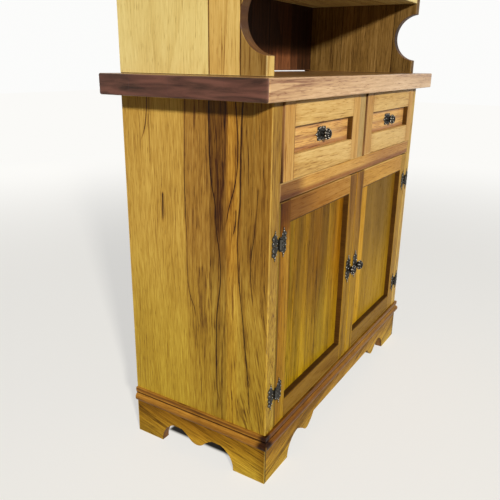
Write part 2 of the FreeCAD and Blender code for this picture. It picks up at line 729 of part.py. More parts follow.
def knob_plate(label, x, face, z, length, width, upright):
    """A thin plate with a pointed finial at each end and three lobes along each side."""
    body = new_body(label, (x, face, z))
    sketch = new_sketch(body, "XZ")
    half, side = f"({length} / 2)", f"({width} / 2)"
    upper = [(f"0.62 * {side}", "0"), ((side, f"0.22 * {half}"), (f"0.62 * {side}", f"0.4 * {half}")),
             ((f"0.95 * {side}", f"0.52 * {half}"), (f"0.5 * {side}", f"0.64 * {half}")),
             ((f"0.17 * {side}", f"0.807 * {half}"), ("0", half))]
    right = upper + mirrored_path(upper)[1:]
    whole = right[1:] + mirrored_path(right, (False, True))[1:]
    if not upright:
        whole = [swapped_item(item) for item in whole]
    outline(sketch, whole)
    pad(body, sketch, "plate_thickness")
    return body


def swapped_item(item):
    """An outline item with u and v exchanged."""
    if isinstance(item[0], tuple):
        return tuple((v, u) for u, v in item)
    return (item[1], item[0])


# Hinges

def hinge_leaf(label, height, direction, knuckle_in_middle):
    """One leaf: a scalloped, pierced plate with a finial at each end, and its knuckles.

    The direction is -1 for the post's leaf and 1 for the door's. The pin's axis stands
    before the gap between post and door.
    """
    axis_x = f"(door_gap / 2 - {OPENING})"
    body = new_body(label, (axis_x, FRONT, height))
    plate = new_sketch(body, "XZ")
    root = "(knuckle_radius + knuckle_play + eased_edge)"
    end, middle = "(knuckle_length / 2)", "(middle_knuckle / 2)"
    tip = "(leaf_height / 2)"
    upper = [
        (root, end),
        (("0.36 * leaf_width", f"0.44 * {tip}"), ("0.46 * leaf_width", f"0.6 * {tip}")),
        (("0.56 * leaf_width", f"0.78 * {tip}"), ("0.6 * leaf_width", tip)),
        (("0.66 * leaf_width", f"0.78 * {tip}"), ("0.84 * leaf_width", f"0.64 * {tip}")),
        (("0.99 * leaf_width", f"0.5 * {tip}"), ("0.88 * leaf_width", f"0.33 * {tip}")),
        (("leaf_width", f"0.16 * {tip}"), ("0.9 * leaf_width", "0"))]
    whole = upper + mirrored_path(upper, (False, True))[1:]
    if knuckle_in_middle:
        teeth = [(root, f"-{middle}"), ("0", f"-{middle}"), ("0", middle), (root, middle)]
    else:
        step = f"({middle} + knuckle_play)"
        teeth = [("0", f"-{end}"), ("0", f"-{step}"), (root, f"-{step}"), (root, step),
                 ("0", step), ("0", end)]
    whole = whole + teeth
    if direction < 0:
        whole = [flipped_item(item) for item in whole]
    outline(plate, whole)
    for along, up in ((0.4, 0), (0.66, 0.36), (0.66, -0.36), (0.72, 0)):
        radius = "leaf_piercing" if up else "0.75 * leaf_piercing"
        circle(plate, f"{direction} * {along} * leaf_width", f"{up} * {tip}", radius)
    pad(body, plate, "leaf_thickness")
    bands = [(f"-{middle}", "middle_knuckle")]
    if not knuckle_in_middle:
        side_length = f"({end} - {middle} - knuckle_play)"
        bands = [(f"-{end}", side_length), (f"{middle} + knuckle_play", side_length)]
    for start, length in bands:
        ring = new_sketch(body, "XY")
        ring.setExpression("AttachmentOffset.Base.z", formula(start))
        circle(ring, "0", "-knuckle_proud", "knuckle_radius")
        circle(ring, "0", "-knuckle_proud", "pin_radius + pin_play")
        pad(body, ring, length)
    return body


def hinge_pin(label, height):
    """The pin with a ball finial above and below the knuckles."""
    body = new_body(label, (f"door_gap / 2 - {OPENING}", f"{FRONT} - knuckle_proud", height))
    sketch = new_sketch(body, "XZ")
    end = "(knuckle_length / 2)"
    reach = "sqrt(pin_finial_radius * pin_finial_radius - pin_radius * pin_radius)"
    ball = f"({end} + {reach})"
    upper = [("pin_radius", end), (("pin_finial_radius", ball), ("0", f"{ball} + pin_finial_radius"))]
    outline(sketch, upper + mirrored_path(upper, (False, True)))
    turn(body, sketch)
    return body


def hinges():
    """The fixed halves of all four hinges, and their pins."""
    heights = {"lower": "lower_hinge", "upper": "upper_hinge"}
    leaves = [hinge_leaf(f"left_{name}_post_leaf", height, -1, False) for name, height in heights.items()]
    pins = [hinge_pin(f"left_{name}_pin", height) for name, height in heights.items()]
    return [group("hinge_post_leaves", both_sides(leaves)), group("hinge_pins", both_sides(pins))]


# Doors and drawers

def doors():
    """Both framed doors with their knobs, plates and hinge leaves."""
    stiles, rails, panel = framed_front(
        "left_door", ("left_door_hinge_stile", "left_door_meeting_stile"),
        (f"(-{DOOR_OUTER})", FRONT, DOOR_BOTTOM), DOOR_WIDTH, DOOR_HEIGHT, "door_thickness",
        "door_stile", "door_rail", "door_recess")
    knob_x = "-(door_gap + door_stile) / 2"
    leaves = [hinge_leaf(f"left_{name}_door_leaf", height, 1, True)
              for name, height in (("lower", "lower_hinge"), ("upper", "upper_hinge"))]
    left = stiles + [
        group("left_door_rails", rails), panel,
        knob_plate("left_door_knob_plate", knob_x, FRONT, "door_knob_height",
                   "door_plate_length", "door_plate_width", True),
        knob("left_door_knob", knob_x, FRONT, "door_knob_height"),
        group("left_door_hinge_leaves", leaves)]
    return both_sides(left)


def drawer_side(label, x, groove_on_right):
    """A side of the drawer box, grooved for the bottom."""
    body = new_body(label, (x, BOX_FRONT, BOX_BOTTOM))
    sketch = new_sketch(body, "XZ")
    wide = "drawer_side_thickness"
    groove_top = "(drawer_bottom_lift + drawer_bottom_thickness)"
    path = [("0", "0"), (wide, "0"), (wide, "drawer_bottom_lift"),
            (f"{wide} - drawer_bottom_groove", "drawer_bottom_lift"),
            (f"{wide} - drawer_bottom_groove", groove_top), (wide, groove_top),
            (wide, "drawer_side_height"), ("0", "drawer_side_height")]
    if not groove_on_right:
        path = [(f"{wide} - ({u})", v) for u, v in path]
    outline(sketch, path)
    pad(body, sketch, "drawer_depth", backwards=True)
    return body


def drawers():
    """Both drawers: framed front, box, knob and plate."""
    stiles, rails, panel = framed_front(
        "left_drawer", ("left_drawer_outer_stile", "left_drawer_inner_stile"),
        (f"(-{DOOR_OUTER})", DRAWER_FRONT, DRAWER_BOTTOM), DRAWER_WIDTH, DRAWER_HEIGHT,
        "drawer_front_thickness", "drawer_stile", "drawer_rail", "drawer_recess")
    panel.Label = "left_drawer_front_panel"
    left_side_x = f"-{DOOR_OUTER}"
    sides = [drawer_side("left_drawer_outer_side", left_side_x, True),
             drawer_side("left_drawer_inner_side", f"-{DRAWER_INNER} - drawer_side_thickness", False)]
    inside = f"({DRAWER_WIDTH} - 2 * drawer_side_thickness)"
    floor = f"({BOX_BOTTOM} + drawer_bottom_lift)"
    bottom = board("left_drawer_bottom",
                   (f"{left_side_x} + drawer_side_thickness - drawer_bottom_groove", BOX_FRONT, floor),
                   (f"{inside} + 2 * drawer_bottom_groove", "drawer_depth", "drawer_bottom_thickness"))
    above = "(drawer_bottom_lift + drawer_bottom_thickness)"
    back = board("left_drawer_back",
                 (f"{left_side_x} + drawer_side_thickness",
                  f"{BOX_FRONT} + drawer_depth - drawer_side_thickness", f"{BOX_BOTTOM} + {above}"),
                 (inside, "drawer_side_thickness", f"drawer_side_height - {above}"))
    knob_x = f"-({DOOR_OUTER} + {DRAWER_INNER}) / 2"
    knob_z = f"({DRAWER_BOTTOM} + {DRAWER_HEIGHT} / 2)"
    face = f"({DRAWER_FRONT} + drawer_recess)"
    left = [
        group("left_drawer_front_frame", stiles + rails), panel,
        group("left_drawer_sides", sides), bottom, back,
        knob_plate("left_drawer_knob_plate", knob_x, face, knob_z,
                   "drawer_plate_length", "drawer_plate_width", False),
        knob("left_drawer_knob", knob_x, face, knob_z)]
    return both_sides(left)


# Hutch

def hutch_side():
    """The left side board with the C-shaped cut-out in its front edge."""
    body = new_body("left_hutch_side", (f"-{HALF}", HUTCH_FRONT, "worktop_height"))
    sketch = new_sketch(body, "YZ")
    depth = f"({BACK} - {HUTCH_FRONT})"
    height = "(hutch_height - top_thickness)"
    reach = "sqrt(cutout_radius * cutout_radius - cutout_offset * cutout_offset)"
    outline(sketch, [
        ("0", "0"), ("0", f"cutout_height - {reach}"),
        (("cutout_radius - cutout_offset", "cutout_height"), ("0", f"cutout_height + {reach}")),
        ("0", height), (depth, height), (depth, "0")])
    ease_edges(body, pad(body, sketch, "hutch_side_thickness"))
    return body


def hutch_shelf(label, height, thickness):
    """A shelf between the hutch's sides."""
    return board(label, (f"-{HUTCH_INNER}", HUTCH_FRONT, f"worktop_height + {height}"),
                 (f"2 * {HUTCH_INNER}", f"{HUTCH_BACK_FACE} - {HUTCH_FRONT}", thickness))


def hutch():
    """Side boards, back boards, shelves, frieze, cornice and top board."""
    back_bottom = "(worktop_height + hutch_back_lift)"
    return both_sides([hutch_side()]) + [
        board("hutch_back", (f"-{HUTCH_INNER}", HUTCH_BACK_FACE, back_bottom),
              (f"2 * {HUTCH_INNER}", "hutch_back_thickness", f"{TOP_UNDERSIDE} - {back_bottom}")),
        hutch_shelf("hutch_lower_shelf", "lower_shelf_height", "lower_shelf_thickness"),
        hutch_shelf("hutch_upper_shelf", "upper_shelf_height", "upper_shelf_thickness"),
        board("hutch_frieze", (f"-{HUTCH_INNER}", HUTCH_FRONT, f"{TOP_UNDERSIDE} - frieze_height"),
              (f"2 * {HUTCH_INNER}", "rail_thickness", "frieze_height")),
        cornice(),
        rounded_top("hutch_top", f"{HALF} + top_overhang", f"{HUTCH_FRONT} - top_overhang",
                    TOP_UNDERSIDE, "top_thickness", "worktop_corner", "top_arris")]


nodes = carcass() + plinth() + hinges() + doors() + drawers() + hutch()
doc.recompute()

faults = [item.Name for item in doc.Objects if {"Invalid", "Error"} & set(item.State)]
faults += [node.Label for node in nodes if node.Shape.isNull() or not node.Shape.isValid()]
if faults:
    raise RuntimeError("failed: " + ", ".join(faults))

os.makedirs("parts", exist_ok=True)
for node in nodes:
    node.Shape.exportStep(f"parts/{node.Label}.step")
print(len(nodes), "nodes,", sum(len(node.Shape.Solids) for node in nodes), "solids")
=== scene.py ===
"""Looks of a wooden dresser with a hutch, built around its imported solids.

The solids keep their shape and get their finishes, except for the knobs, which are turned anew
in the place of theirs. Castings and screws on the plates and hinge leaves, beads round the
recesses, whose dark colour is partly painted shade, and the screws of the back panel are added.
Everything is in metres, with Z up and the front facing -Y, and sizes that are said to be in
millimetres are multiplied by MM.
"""

import logging
import math
from dataclasses import dataclass, replace
from enum import Enum
from typing import Iterable

import bmesh
import bpy
from mathutils import Matrix, Vector

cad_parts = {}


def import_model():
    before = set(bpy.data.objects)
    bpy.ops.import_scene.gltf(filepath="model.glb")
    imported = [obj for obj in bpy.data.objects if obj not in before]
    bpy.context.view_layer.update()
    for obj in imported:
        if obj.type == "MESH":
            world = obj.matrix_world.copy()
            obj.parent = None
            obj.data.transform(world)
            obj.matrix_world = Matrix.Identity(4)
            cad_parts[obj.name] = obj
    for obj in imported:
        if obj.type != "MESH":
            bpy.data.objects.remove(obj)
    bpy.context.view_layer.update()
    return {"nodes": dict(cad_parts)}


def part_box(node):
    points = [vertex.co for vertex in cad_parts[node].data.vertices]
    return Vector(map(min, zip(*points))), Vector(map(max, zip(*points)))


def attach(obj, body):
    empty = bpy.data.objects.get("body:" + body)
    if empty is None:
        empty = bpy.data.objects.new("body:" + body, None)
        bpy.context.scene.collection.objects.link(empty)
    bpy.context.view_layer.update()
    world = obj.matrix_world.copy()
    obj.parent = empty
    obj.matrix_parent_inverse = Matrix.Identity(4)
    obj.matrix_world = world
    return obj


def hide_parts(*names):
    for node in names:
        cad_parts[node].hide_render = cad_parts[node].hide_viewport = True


LOG = logging.getLogger("dresser")
MM = 0.001

Colour = tuple[float, float, float, float]
Point = tuple[float, float, float]
Places = tuple[tuple[float, float], ...]
Stops = tuple[tuple[float, str], ...]
Socket = bpy.types.NodeSocket
Material = bpy.types.Material
Mesh = bmesh.types.BMesh
Box = tuple[Vector, Vector]
Socketable = "Value | float | tuple | Socket"


def colour(code: str) -> Colour:
    """Turn a written colour into the linear one that shaders use.

    Args:
        code: six hexadecimal digits, red first.

    Returns:
        Linear red, green and blue, and an alpha of 1.
    """
    channels = [int(code[start:start + 2], 16) / 255 for start in (0, 2, 4)]
    linear = [c / 12.92 if c <= 0.04045 else ((c + 0.055) / 1.055) ** 2.4 for c in channels]
    return (*linear, 1.0)


def stops(text: str) -> Stops:
    """Read "place tint, place tint" as stops along a board.

    Args:
        text: the stops, with places in millimetres.

    Returns:
        The stops as pairs.
    """
    pairs = (pair.split() for pair in text.split(","))
    return tuple((float(place), tint) for place, tint in pairs)


def trail(text: str) -> Places:
    """Read "across along, across along" as places on a board's face.

    Args:
        text: the places, in millimetres.

    Returns:
        The places as pairs.
    """
    pairs = (pair.split() for pair in text.split(","))
    return tuple((float(across), float(along)) for across, along in pairs)


class Value:
    """A number socket that takes part in arithmetic; each operator adds its Math node."""

    def __init__(self, nodes: "Nodes", socket: Socket) -> None:
        """Wrap a socket of a node tree."""
        self.nodes = nodes
        self.socket = socket

    def math(self, operation: str, *others: Socketable) -> "Value":
        """Add a Math node.

        Args:
            operation: the node's operation.
            others: what its further sockets hold or are linked to.

        Returns:
            The node's result.
        """
        sockets = dict(enumerate((self, *others)))
        return self.nodes.value("ShaderNodeMath", {"operation": operation}, sockets)

    def __add__(self, other: Socketable) -> "Value":
        """Sum."""
        if isinstance(other, float) and other == 0.0:
            return self
        return self.math("ADD", other)

    __radd__ = __add__

    def __sub__(self, other: Socketable) -> "Value":
        """Difference."""
        return self.math("SUBTRACT", other)

    def __rsub__(self, other: float) -> "Value":
        """Difference from a number."""
        return (self * -1.0) + other

    def __mul__(self, other: Socketable) -> "Value":
        """Product."""
        return self.math("MULTIPLY", other)

    __rmul__ = __mul__

    def __truediv__(self, other: Socketable) -> "Value":
        """Quotient."""
        return self.math("DIVIDE", other)

    def __pow__(self, other: float) -> "Value":
        """Power."""
        return self.math("POWER", other)

    def __abs__(self) -> "Value":
        """Size without sign."""
        return self.math("ABSOLUTE")

    def fraction(self) -> "Value":
        """What is left after the whole part."""
        return self.math("FRACT")

    def above(self, limit: float) -> "Value":
        """One where the value is above the limit, and nought elsewhere."""
        return self.math("GREATER_THAN", limit)

    def largest(self, other: Socketable) -> "Value":
        """The larger of two values."""
        return self.math("MAXIMUM", other)

    def smooth(self, low: float, high: float) -> "Value":
        """Rise smoothly between two limits.

        Args:
            low: where the result is nought.
            high: where the result is one; it may be below low.

        Returns:
            The smoothed step.
        """
        settings = {"interpolation_type": "SMOOTHSTEP"}
        if low < high:
            return self.nodes.value("ShaderNodeMapRange", settings, {0: self, 1: low, 2: high})
        return 1 - self.nodes.value("ShaderNodeMapRange", settings, {0: self, 1: high, 2: low})


class Nodes:
    """A node tree, and the few ways in which it grows."""

    def __init__(self, owner: "Material | bpy.types.World") -> None:
        """Take over a tree and empty it.

        Args:
            owner: the material or world that it belongs to.
        """
        owner.use_nodes = True
        self.tree = owner.node_tree
        self.tree.nodes.clear()

    def node(self, kind: str, settings: dict | None = None,
             sockets: dict | None = None) -> bpy.types.Node:
        """Add a node.

        Args:
            kind: the node's type.
            settings: its properties; a ramp takes its stops and a curve its points here.
            sockets: what each input, by name or place, holds or is linked to.

        Returns:
            The new node.
        """
        made = self.tree.nodes.new(kind)
        for name, setting in (settings or {}).items():
            if name == "stops":
                self._set_stops(made.color_ramp, setting)
            elif name == "points":
                self._set_points(made.mapping, setting)
            else:
                setattr(made, name, setting)
        for name, value in (sockets or {}).items():
            self.feed(made.inputs[name], value)
        return made

    def value(self, kind: str, settings: dict | None = None,
              sockets: dict | None = None, output: str | int = 0) -> Value:
        """Add a node and wrap one of its outputs."""
        return Value(self, self.node(kind, settings, sockets).outputs[output])

    def feed(self, socket: Socket, value: Socketable) -> None:
        """Link a value to an input, or write a constant into it.

        Args:
            socket: the input.
            value: what it gets.
        """
        if isinstance(value, Value):
            value = value.socket
        if isinstance(value, Socket):
            self.tree.links.new(value, socket)
        else:
            socket.default_value = value

    def position(self) -> tuple[Value, Value, Value]:
        """Split the place on the object.

        Returns:
            X, Y and Z in metres.
        """
        place = self.node("ShaderNodeTexCoord").outputs["Object"]
        parts = self.node("ShaderNodeSeparateXYZ", sockets={0: place})
        return tuple(Value(self, parts.outputs[axis]) for axis in "XYZ")

    def vector(self, *parts: Socketable) -> Socket:
        """Join three values into a vector."""
        return self.node("ShaderNodeCombineXYZ", sockets=dict(enumerate(parts))).outputs[0]

    def noise(self, place: Socket, scale: float, detail: float = 2.0,
              distortion: float = 0.0) -> Value:
        """Fractal noise from nought to one."""
        return self.value("ShaderNodeTexNoise", {"noise_dimensions": "3D"},
                          {"Vector": place, "Scale": scale, "Detail": detail,
                           "Distortion": distortion})

    def ramp(self, factor: Value, stops: Iterable[tuple[float, Colour]]) -> Socket:
        """A colour that follows a value."""
        return self.node("ShaderNodeValToRGB", {"stops": list(stops)}, {0: factor}).outputs[0]

    def mix(self, factor: Socketable, first: Socketable, second: Socketable,
            blend: str = "MIX") -> Socket:
        """Mix two colours."""
        settings = {"data_type": "RGBA", "blend_type": blend}
        return self.node("ShaderNodeMix", settings, {0: factor, 6: first, 7: second}).outputs[2]

    def seen_directly(self) -> Value:
        """Tell what the camera sees from what only lights the scene.

        Returns:
            One for what is seen straight, by mirroring or through glass.
        """
        path = self.node("ShaderNodeLightPath")
        camera, glossy, through = (Value(self, path.outputs[f"Is {ray} Ray"])
                                   for ray in ("Camera", "Glossy", "Transmission"))
        return camera.largest(glossy).largest(through)

    def blend(self, factor: Value, first: bpy.types.Node, second: bpy.types.Node) -> Socket:
        """Show the second shader in place of the first, by a factor."""
        sockets = {0: factor, 1: first.outputs[0], 2: second.outputs[0]}
        return self.node("ShaderNodeMixShader", sockets=sockets).outputs[0]

    @staticmethod
    def _set_stops(ramp: bpy.types.ColorRamp, stops: list[tuple[float, Colour]]) -> None:
        """Give a colour ramp its stops.

        Args:
            ramp: the ramp.
            stops: (position from nought to one, colour), in order.
        """
        while len(ramp.elements) < len(stops):
            ramp.elements.new(0.5)
        for element, (position, shade) in zip(ramp.elements, stops):
            element.position = position
            element.color = shade

    @staticmethod
    def _set_points(mapping: bpy.types.CurveMapping, points: list[tuple[float, float]]) -> None:
        """Give a curve its points.

        Args:
            mapping: the node's curves, of which the first is used.
            points: its points, in order.
        """
        curve = mapping.curves[0]
        while len(curve.points) < len(points):
            curve.points.new(0.5, 0.5)
        for point, place in zip(curve.points, points):
            point.location = place
        mapping.update()


class Finish(Nodes):
    """A material under way: a node tree around one Principled shader."""

    def __init__(self, name: str) -> None:
        """Start a material.

        Args:
            name: its name.
        """
        self.material = bpy.data.materials.new(name)
        super().__init__(self.material)
        self.output = self.node("ShaderNodeOutputMaterial")
        self.shader = self.node("ShaderNodeBsdfPrincipled")
        self.show(self.shader.outputs[0])

    def show(self, surface: Socket) -> None:
        """Make a shader the one that is seen."""
        self.feed(self.output.inputs["Surface"], surface)

    def principled(self, **sockets: Socketable) -> None:
        """Feed the shader; an underscore in a name stands for a space."""
        for name, value in sockets.items():
            self.feed(self.shader.inputs[name.replace("_", " ")], value)

    def bump(self, height: Value, strength: float, distance: float) -> None:
        """Let a height field shape the shader's normal."""
        sockets = {"Height": height, "Strength": strength, "Distance": distance}
        self.principled(Normal=self.node("ShaderNodeBump", sockets=sockets).outputs[0])


# Timber ---

class Grain(Enum):
    """Which way the fibres of a board run, and which way its face spreads."""

    UPRIGHT_ON_FRONT = ("z", "x", "y")
    UPRIGHT_ON_SIDE = ("z", "y", "x")
    LEVEL_ON_FRONT = ("x", "z", "y")
    LEVEL_ON_SIDE = ("y", "z", "x")
    FLAT_BOARD = ("x", "y", "z")
    FLAT_DEEP = ("y", "x", "z")
    ROUND_THE_CORNER = ("level", "z", "still")


@dataclass(frozen=True)
class Vein:
    """A dark line that wanders down a board.

    Its points are (across, along) in millimetres, from the top down.
    """

    points: Places
    width: float
    depth: float = 1.0


@dataclass(frozen=True)
class Timber:
    """A kind of timber with its finish.

    Colours run from pale to vein by how dark the figure is, and end grain has two of its own.
    Figure, bands, streaks, lines, fibre, pores and flecks are how strong each layer shows.
    """

    pale: str
    middle: str
    deep: str
    vein: str
    rings: float = 7.0
    figure: float = 0.24
    bands: float = 0.45
    streaks: float = 0.75
    lines: float = 0.22
    fibre: float = 0.5
    pores: float = 0.2
    roughness: float = 0.40
    coat: float = 0.0
    sheen: float = 0.12
    flecks: float = 0.3
    end_dark: str = "3d2519"
    end_pale: str = "8a6038"


@dataclass(frozen=True)
class Board:
    """How a piece is cut from its timber.

    All places are in millimetres. Joints are the places across the face where glued boards
    meet, and tones give each of those boards, one more than there are joints, a lightness. Zones
    and stretches are (place, tint) stops across the face and along the fibres, and crosswise
    ones run from left to right over a whole frame. Between the two places of zone_rise along the
    fibres the zones grow from half to full strength, and between those of stretch_rise across the
    face the stretches grow from nought to full. Lean is (across, along, slope): the fibres lean by
    the slope where both places are lower than these.
    Across the face, from calm's first place to its second, faint figure grows to full. Hollow is
    the (across, along, radius) of a round cut-out whose wall is darkened, partly as end grain and
    partly as painted shade.
    In a frame of stiles and rails, stiles gives the middle and the half width between the
    stiles, whose fibres run upright.
    """

    grain: Grain
    seed: float = 0.0
    joints: tuple[float, ...] = ()
    tones: tuple[float, ...] = (1.0,)
    joint_width: float = 0.9
    veins: tuple[Vein, ...] = ()
    heart: tuple[Vein, Vein] | None = None
    stiles: tuple[float, float] | None = None
    zones: Stops = ()
    stretches: Stops = ()
    crosswise: Stops = ()
    zone_rise: tuple[float, float] | None = None
    stretch_rise: tuple[float, float] | None = None
    lean: tuple[float, float, float] | None = None
    calm: tuple[float, float] | None = None
    hollow: tuple[float, float, float] | None = None


@dataclass(frozen=True)
class Layer:
    """A layer of noise in the log, drawn out along the fibres by its stretch."""

    stretch: float
    scale: float
    detail: float
    twist: float = 0.0


RINGS = Layer(0.075, 8.0, 2.0, 0.35)
BANDS = Layer(0.02, 24.0, 2.0)
STREAKS = Layer(0.035, 160.0, 4.0)
LINES = Layer(0.025, 400.0, 3.0)
FIBRES = Layer(0.04, 520.0, 3.0)
FLECKS = Layer(0.11, 330.0, 3.0)
PORES = Layer(0.08, 480.0, 1.0)
CLOUDS = Layer(0.30, 11.0, 2.0)
WANDER = Layer(0.16, 6.0, 2.0)


class TimberShader:
    """Builds the material of one piece of timber.

    The first two lines of numbers are the range of a vein's curve, in metres. The third tells
    how far the seed and each glued board shift the place in the log. The rest are the shares of
    what darkens the timber.
    """

    ALONG_LOW, ALONG_SPAN = -0.1, 1.1
    ACROSS_LOW, ACROSS_SPAN = -0.6, 1.2
    SEED_SHIFT, BOARD_SHIFT, DEPTH_SHIFT, DEPTH_GROWTH = 0.618, 0.731, 1.377, 0.1
    BASE, CLOUDINESS, VEIN_SHARE, JOINT_SHARE, FRAME_JOINT_SHARE = 0.26, 0.35, 0.7, 0.6, 0.12
    # the wall share darkens a round cut-out's wall, partly as painted shade; the edge share paints
    # edges pale, partly as painted highlights on the arrises
    HALO_SHARE, HEART_SHARE, WALL_SHARE, WEAR_SHARE, END_SHARE = 0.22, 0.2, 0.9, 0.4, 0.95

    def __init__(self, name: str, timber: Timber, board: Board, box: Box) -> None:
        """Make the material.

        Args:
            name: the material's name.
            timber: the kind of timber.
            board: how the piece is cut from it.
            box: the piece's lowest and highest corner.
        """
        self.nodes = Finish(name)
        self.timber = timber
        self.board = board
        place = dict(zip("xyz", self.nodes.position()))
        self.wear = self._worn_and_highlit_edges(place, box)
        place["level"] = place["x"] + place["y"]
        place["still"] = place["z"] * 0.0
        self.along, self.across, self.depth = (place[axis] for axis in board.grain.value)
        self.level = place["x"]
        self.frame_joint: Value | float = 0.0
        if board.stiles:
            self._turn_stiles(place["x"])
        self.log_across, self.log_depth, self.tone = self._glued_boards()
        self._dress()

    @property
    def material(self) -> Material:
        """The finished material."""
        return self.nodes.material

    @staticmethod
    def _worn_and_highlit_edges(place: dict[str, Value], box: Box) -> Value:
        """Find the piece's edges, which are painted pale: partly where hands and cloths rub the
        finish, partly as painted highlights on the arrises.

        Args:
            place: the place on the object, by axis.
            box: the piece's lowest and highest corner.

        Returns:
            One at the edges, and nought elsewhere.
        """
        near = []
        for axis, first, last in zip("xyz", *box):
            middle, half = (first + last) / 2, (last - first) / 2
            near.append(abs(place[axis] - middle).smooth(half - 0.0035, half - 0.0004))
        return (near[0] * near[1]).largest(near[1] * near[2]).largest(near[0] * near[2])

    def _turn_stiles(self, x: Value) -> None:
        """Let the fibres of a frame's stiles run upright, with a dark line at their joints.

        Args:
            x: the place from left to right.
        """
        middle, half = self.board.stiles
        off = abs(x - middle * MM)
        upright = off.above(half * MM)
        along, across = self.along, self.across
        self.along = along + (across - along) * upright
        self.across = across + (along - across) * upright
        self.frame_joint = abs(off - half * MM).smooth(0.0007, 0.0002)

    def _glued_boards(self) -> tuple[Value, Value, Value | float]:
        """Shift each glued board to its own part of the log, with its own lightness.

        Returns:
            The place across the log, the place in its depth and the lightness.
        """
        across = self.across + self.board.seed * self.SEED_SHIFT
        depth = self.depth + self.board.seed
        tone: Value | float = self.board.tones[0]
        for index, joint in enumerate(self.board.joints):
            past = self.across.above(joint * MM)
            across = across + past * self.BOARD_SHIFT
            depth = depth + past * (self.DEPTH_SHIFT + self.DEPTH_GROWTH * index)
            tone = past * (self.board.tones[index + 1] - self.board.tones[index]) + tone
        return across, depth, tone

    def _joint_lines(self) -> Value | float:
        """Draw thin dark lines where glued boards meet.

        Returns:
            One in the lines, and nought elsewhere.
        """
        lines: Value | float = self.frame_joint * self.FRAME_JOINT_SHARE
        half = self.board.joint_width / 2
        for joint in self.board.joints:
            near = abs(self.across - joint * MM)
            lines = near.smooth((half + 0.6) * MM, half * 0.5 * MM) + lines
        return lines

    def _path(self, vein: Vein) -> Value:
        """Follow a vein down the board.

        Args:
            vein: the vein.

        Returns:
            Its place across the face, at each place along it.
        """
        points = sorted(((along * MM - self.ALONG_LOW) / self.ALONG_SPAN,
                         (across * MM - self.ACROSS_LOW) / self.ACROSS_SPAN)
                        for across, along in vein.points)
        placed = (self.along - self.ALONG_LOW) / self.ALONG_SPAN
        curve = self.nodes.value("ShaderNodeFloatCurve", {"points": points}, {"Value": placed})
        return curve * self.ACROSS_SPAN + self.ACROSS_LOW

    def _span(self, vein: Vein) -> Value:
        """Fade a vein in and out at its ends.

        Args:
            vein: the vein.

        Returns:
            One where it is full, and nought past its ends.
        """
        top = max(along for _, along in vein.points) * MM
        bottom = min(along for _, along in vein.points) * MM
        tail = 0.3 * (top - bottom)
        rising = self.along.smooth(bottom - 0.005, bottom + tail)
        return rising * self.along.smooth(top + 0.004, top - 0.006)

    def _veins(self, wander: Value, swell: Value) -> Value | float:
        """Draw all veins of the face, and the dark heart between two of them.

        Args:
            wander: slow noise about nought that bends the veins.
            swell: soft noise from nought to one that widens and narrows them.

        Returns:
            How dark the veins make a place.
        """
        total: Value | float = 0.0
        face = self.across + wander * 0.006
        for vein in self.board.veins:
            off = abs(face - self._path(vein))
            width = vein.width * MM
            sharp = (off / (swell * width + 0.2 * width)).smooth(1.0, 0.15)
            halo = off.smooth(width * 4, 0.0) * self.HALO_SHARE
            total = (sharp + halo) * self._span(vein) * vein.depth + total
        if self.board.heart:
            left, right = self.board.heart
            inside = (face - self._path(left)).smooth(-0.002, 0.004)
            inside = inside * (self._path(right) - face).smooth(-0.002, 0.004)
            total = inside * self._span(left) * self._span(right) * self.HEART_SHARE + total
        return total

    def _stained(self, tint: Socket, place: Value, stops: Stops, strength: Socketable) -> Socket:
        """Darken a colour by tints laid out along a place.

        Args:
            tint: the colour so far.
            place: where a point lies, in metres.
            stops: (place in millimetres, tint), in order.
            strength: how much of the tints is used.

        Returns:
            The stained colour.
        """
        low, high = stops[0][0], stops[-1][0]
        spread = [((at - low) / (high - low), colour(code)) for at, code in stops]
        ramp = self.nodes.ramp((place - low * MM) / ((high - low) * MM), spread)
        return self.nodes.mix(strength, tint, ramp, "MULTIPLY")

    def _cut_wall_shade(self) -> Value:
        """Find the wall of the board's round cut-out, which is darkened partly as painted shade.

        Returns:
            One on the wall, and nought elsewhere.
        """
        across, along, radius = self.board.hollow
        off_across, off_along = self.across - across * MM, self.along - along * MM
        away = (off_across * off_across + off_along * off_along) ** 0.5
        return away.smooth((radius + 0.8) * MM, (radius + 0.3) * MM)

    def _end_grain(self) -> Value:
        """Find where a surface cuts across the fibres.

        Returns:
            One on end grain, and nought elsewhere.
        """
        axis = self.board.grain.value[0].upper()
        facing = self.nodes.node("ShaderNodeTexCoord").outputs["Normal"]
        parts = self.nodes.node("ShaderNodeSeparateXYZ", sockets={0: facing})
        return abs(Value(self.nodes, parts.outputs[axis])).smooth(0.35, 0.85)

    def _dress(self) -> None:
        """Wire colour, roughness and relief."""
        nodes, timber, board = self.nodes, self.timber, self.board
        slow = nodes.vector(self.log_across, self.log_depth, self.along * WANDER.stretch)
        wander = nodes.noise(slow, WANDER.scale, WANDER.detail) - 0.5
        bent = self.log_across + wander * 0.035
        if board.lean:
            edge, top, slope = board.lean
            aside = self.across.smooth((edge + 50) * MM, (edge - 50) * MM)
            bent = bent + aside * (top * MM - self.along).largest(0.0) * slope

        def layer(kind: Layer) -> Value:
            """Add one layer of the log's noise."""
            place = nodes.vector(bent, self.log_depth, self.along * kind.stretch)
            return nodes.noise(place, kind.scale, kind.detail, kind.twist)

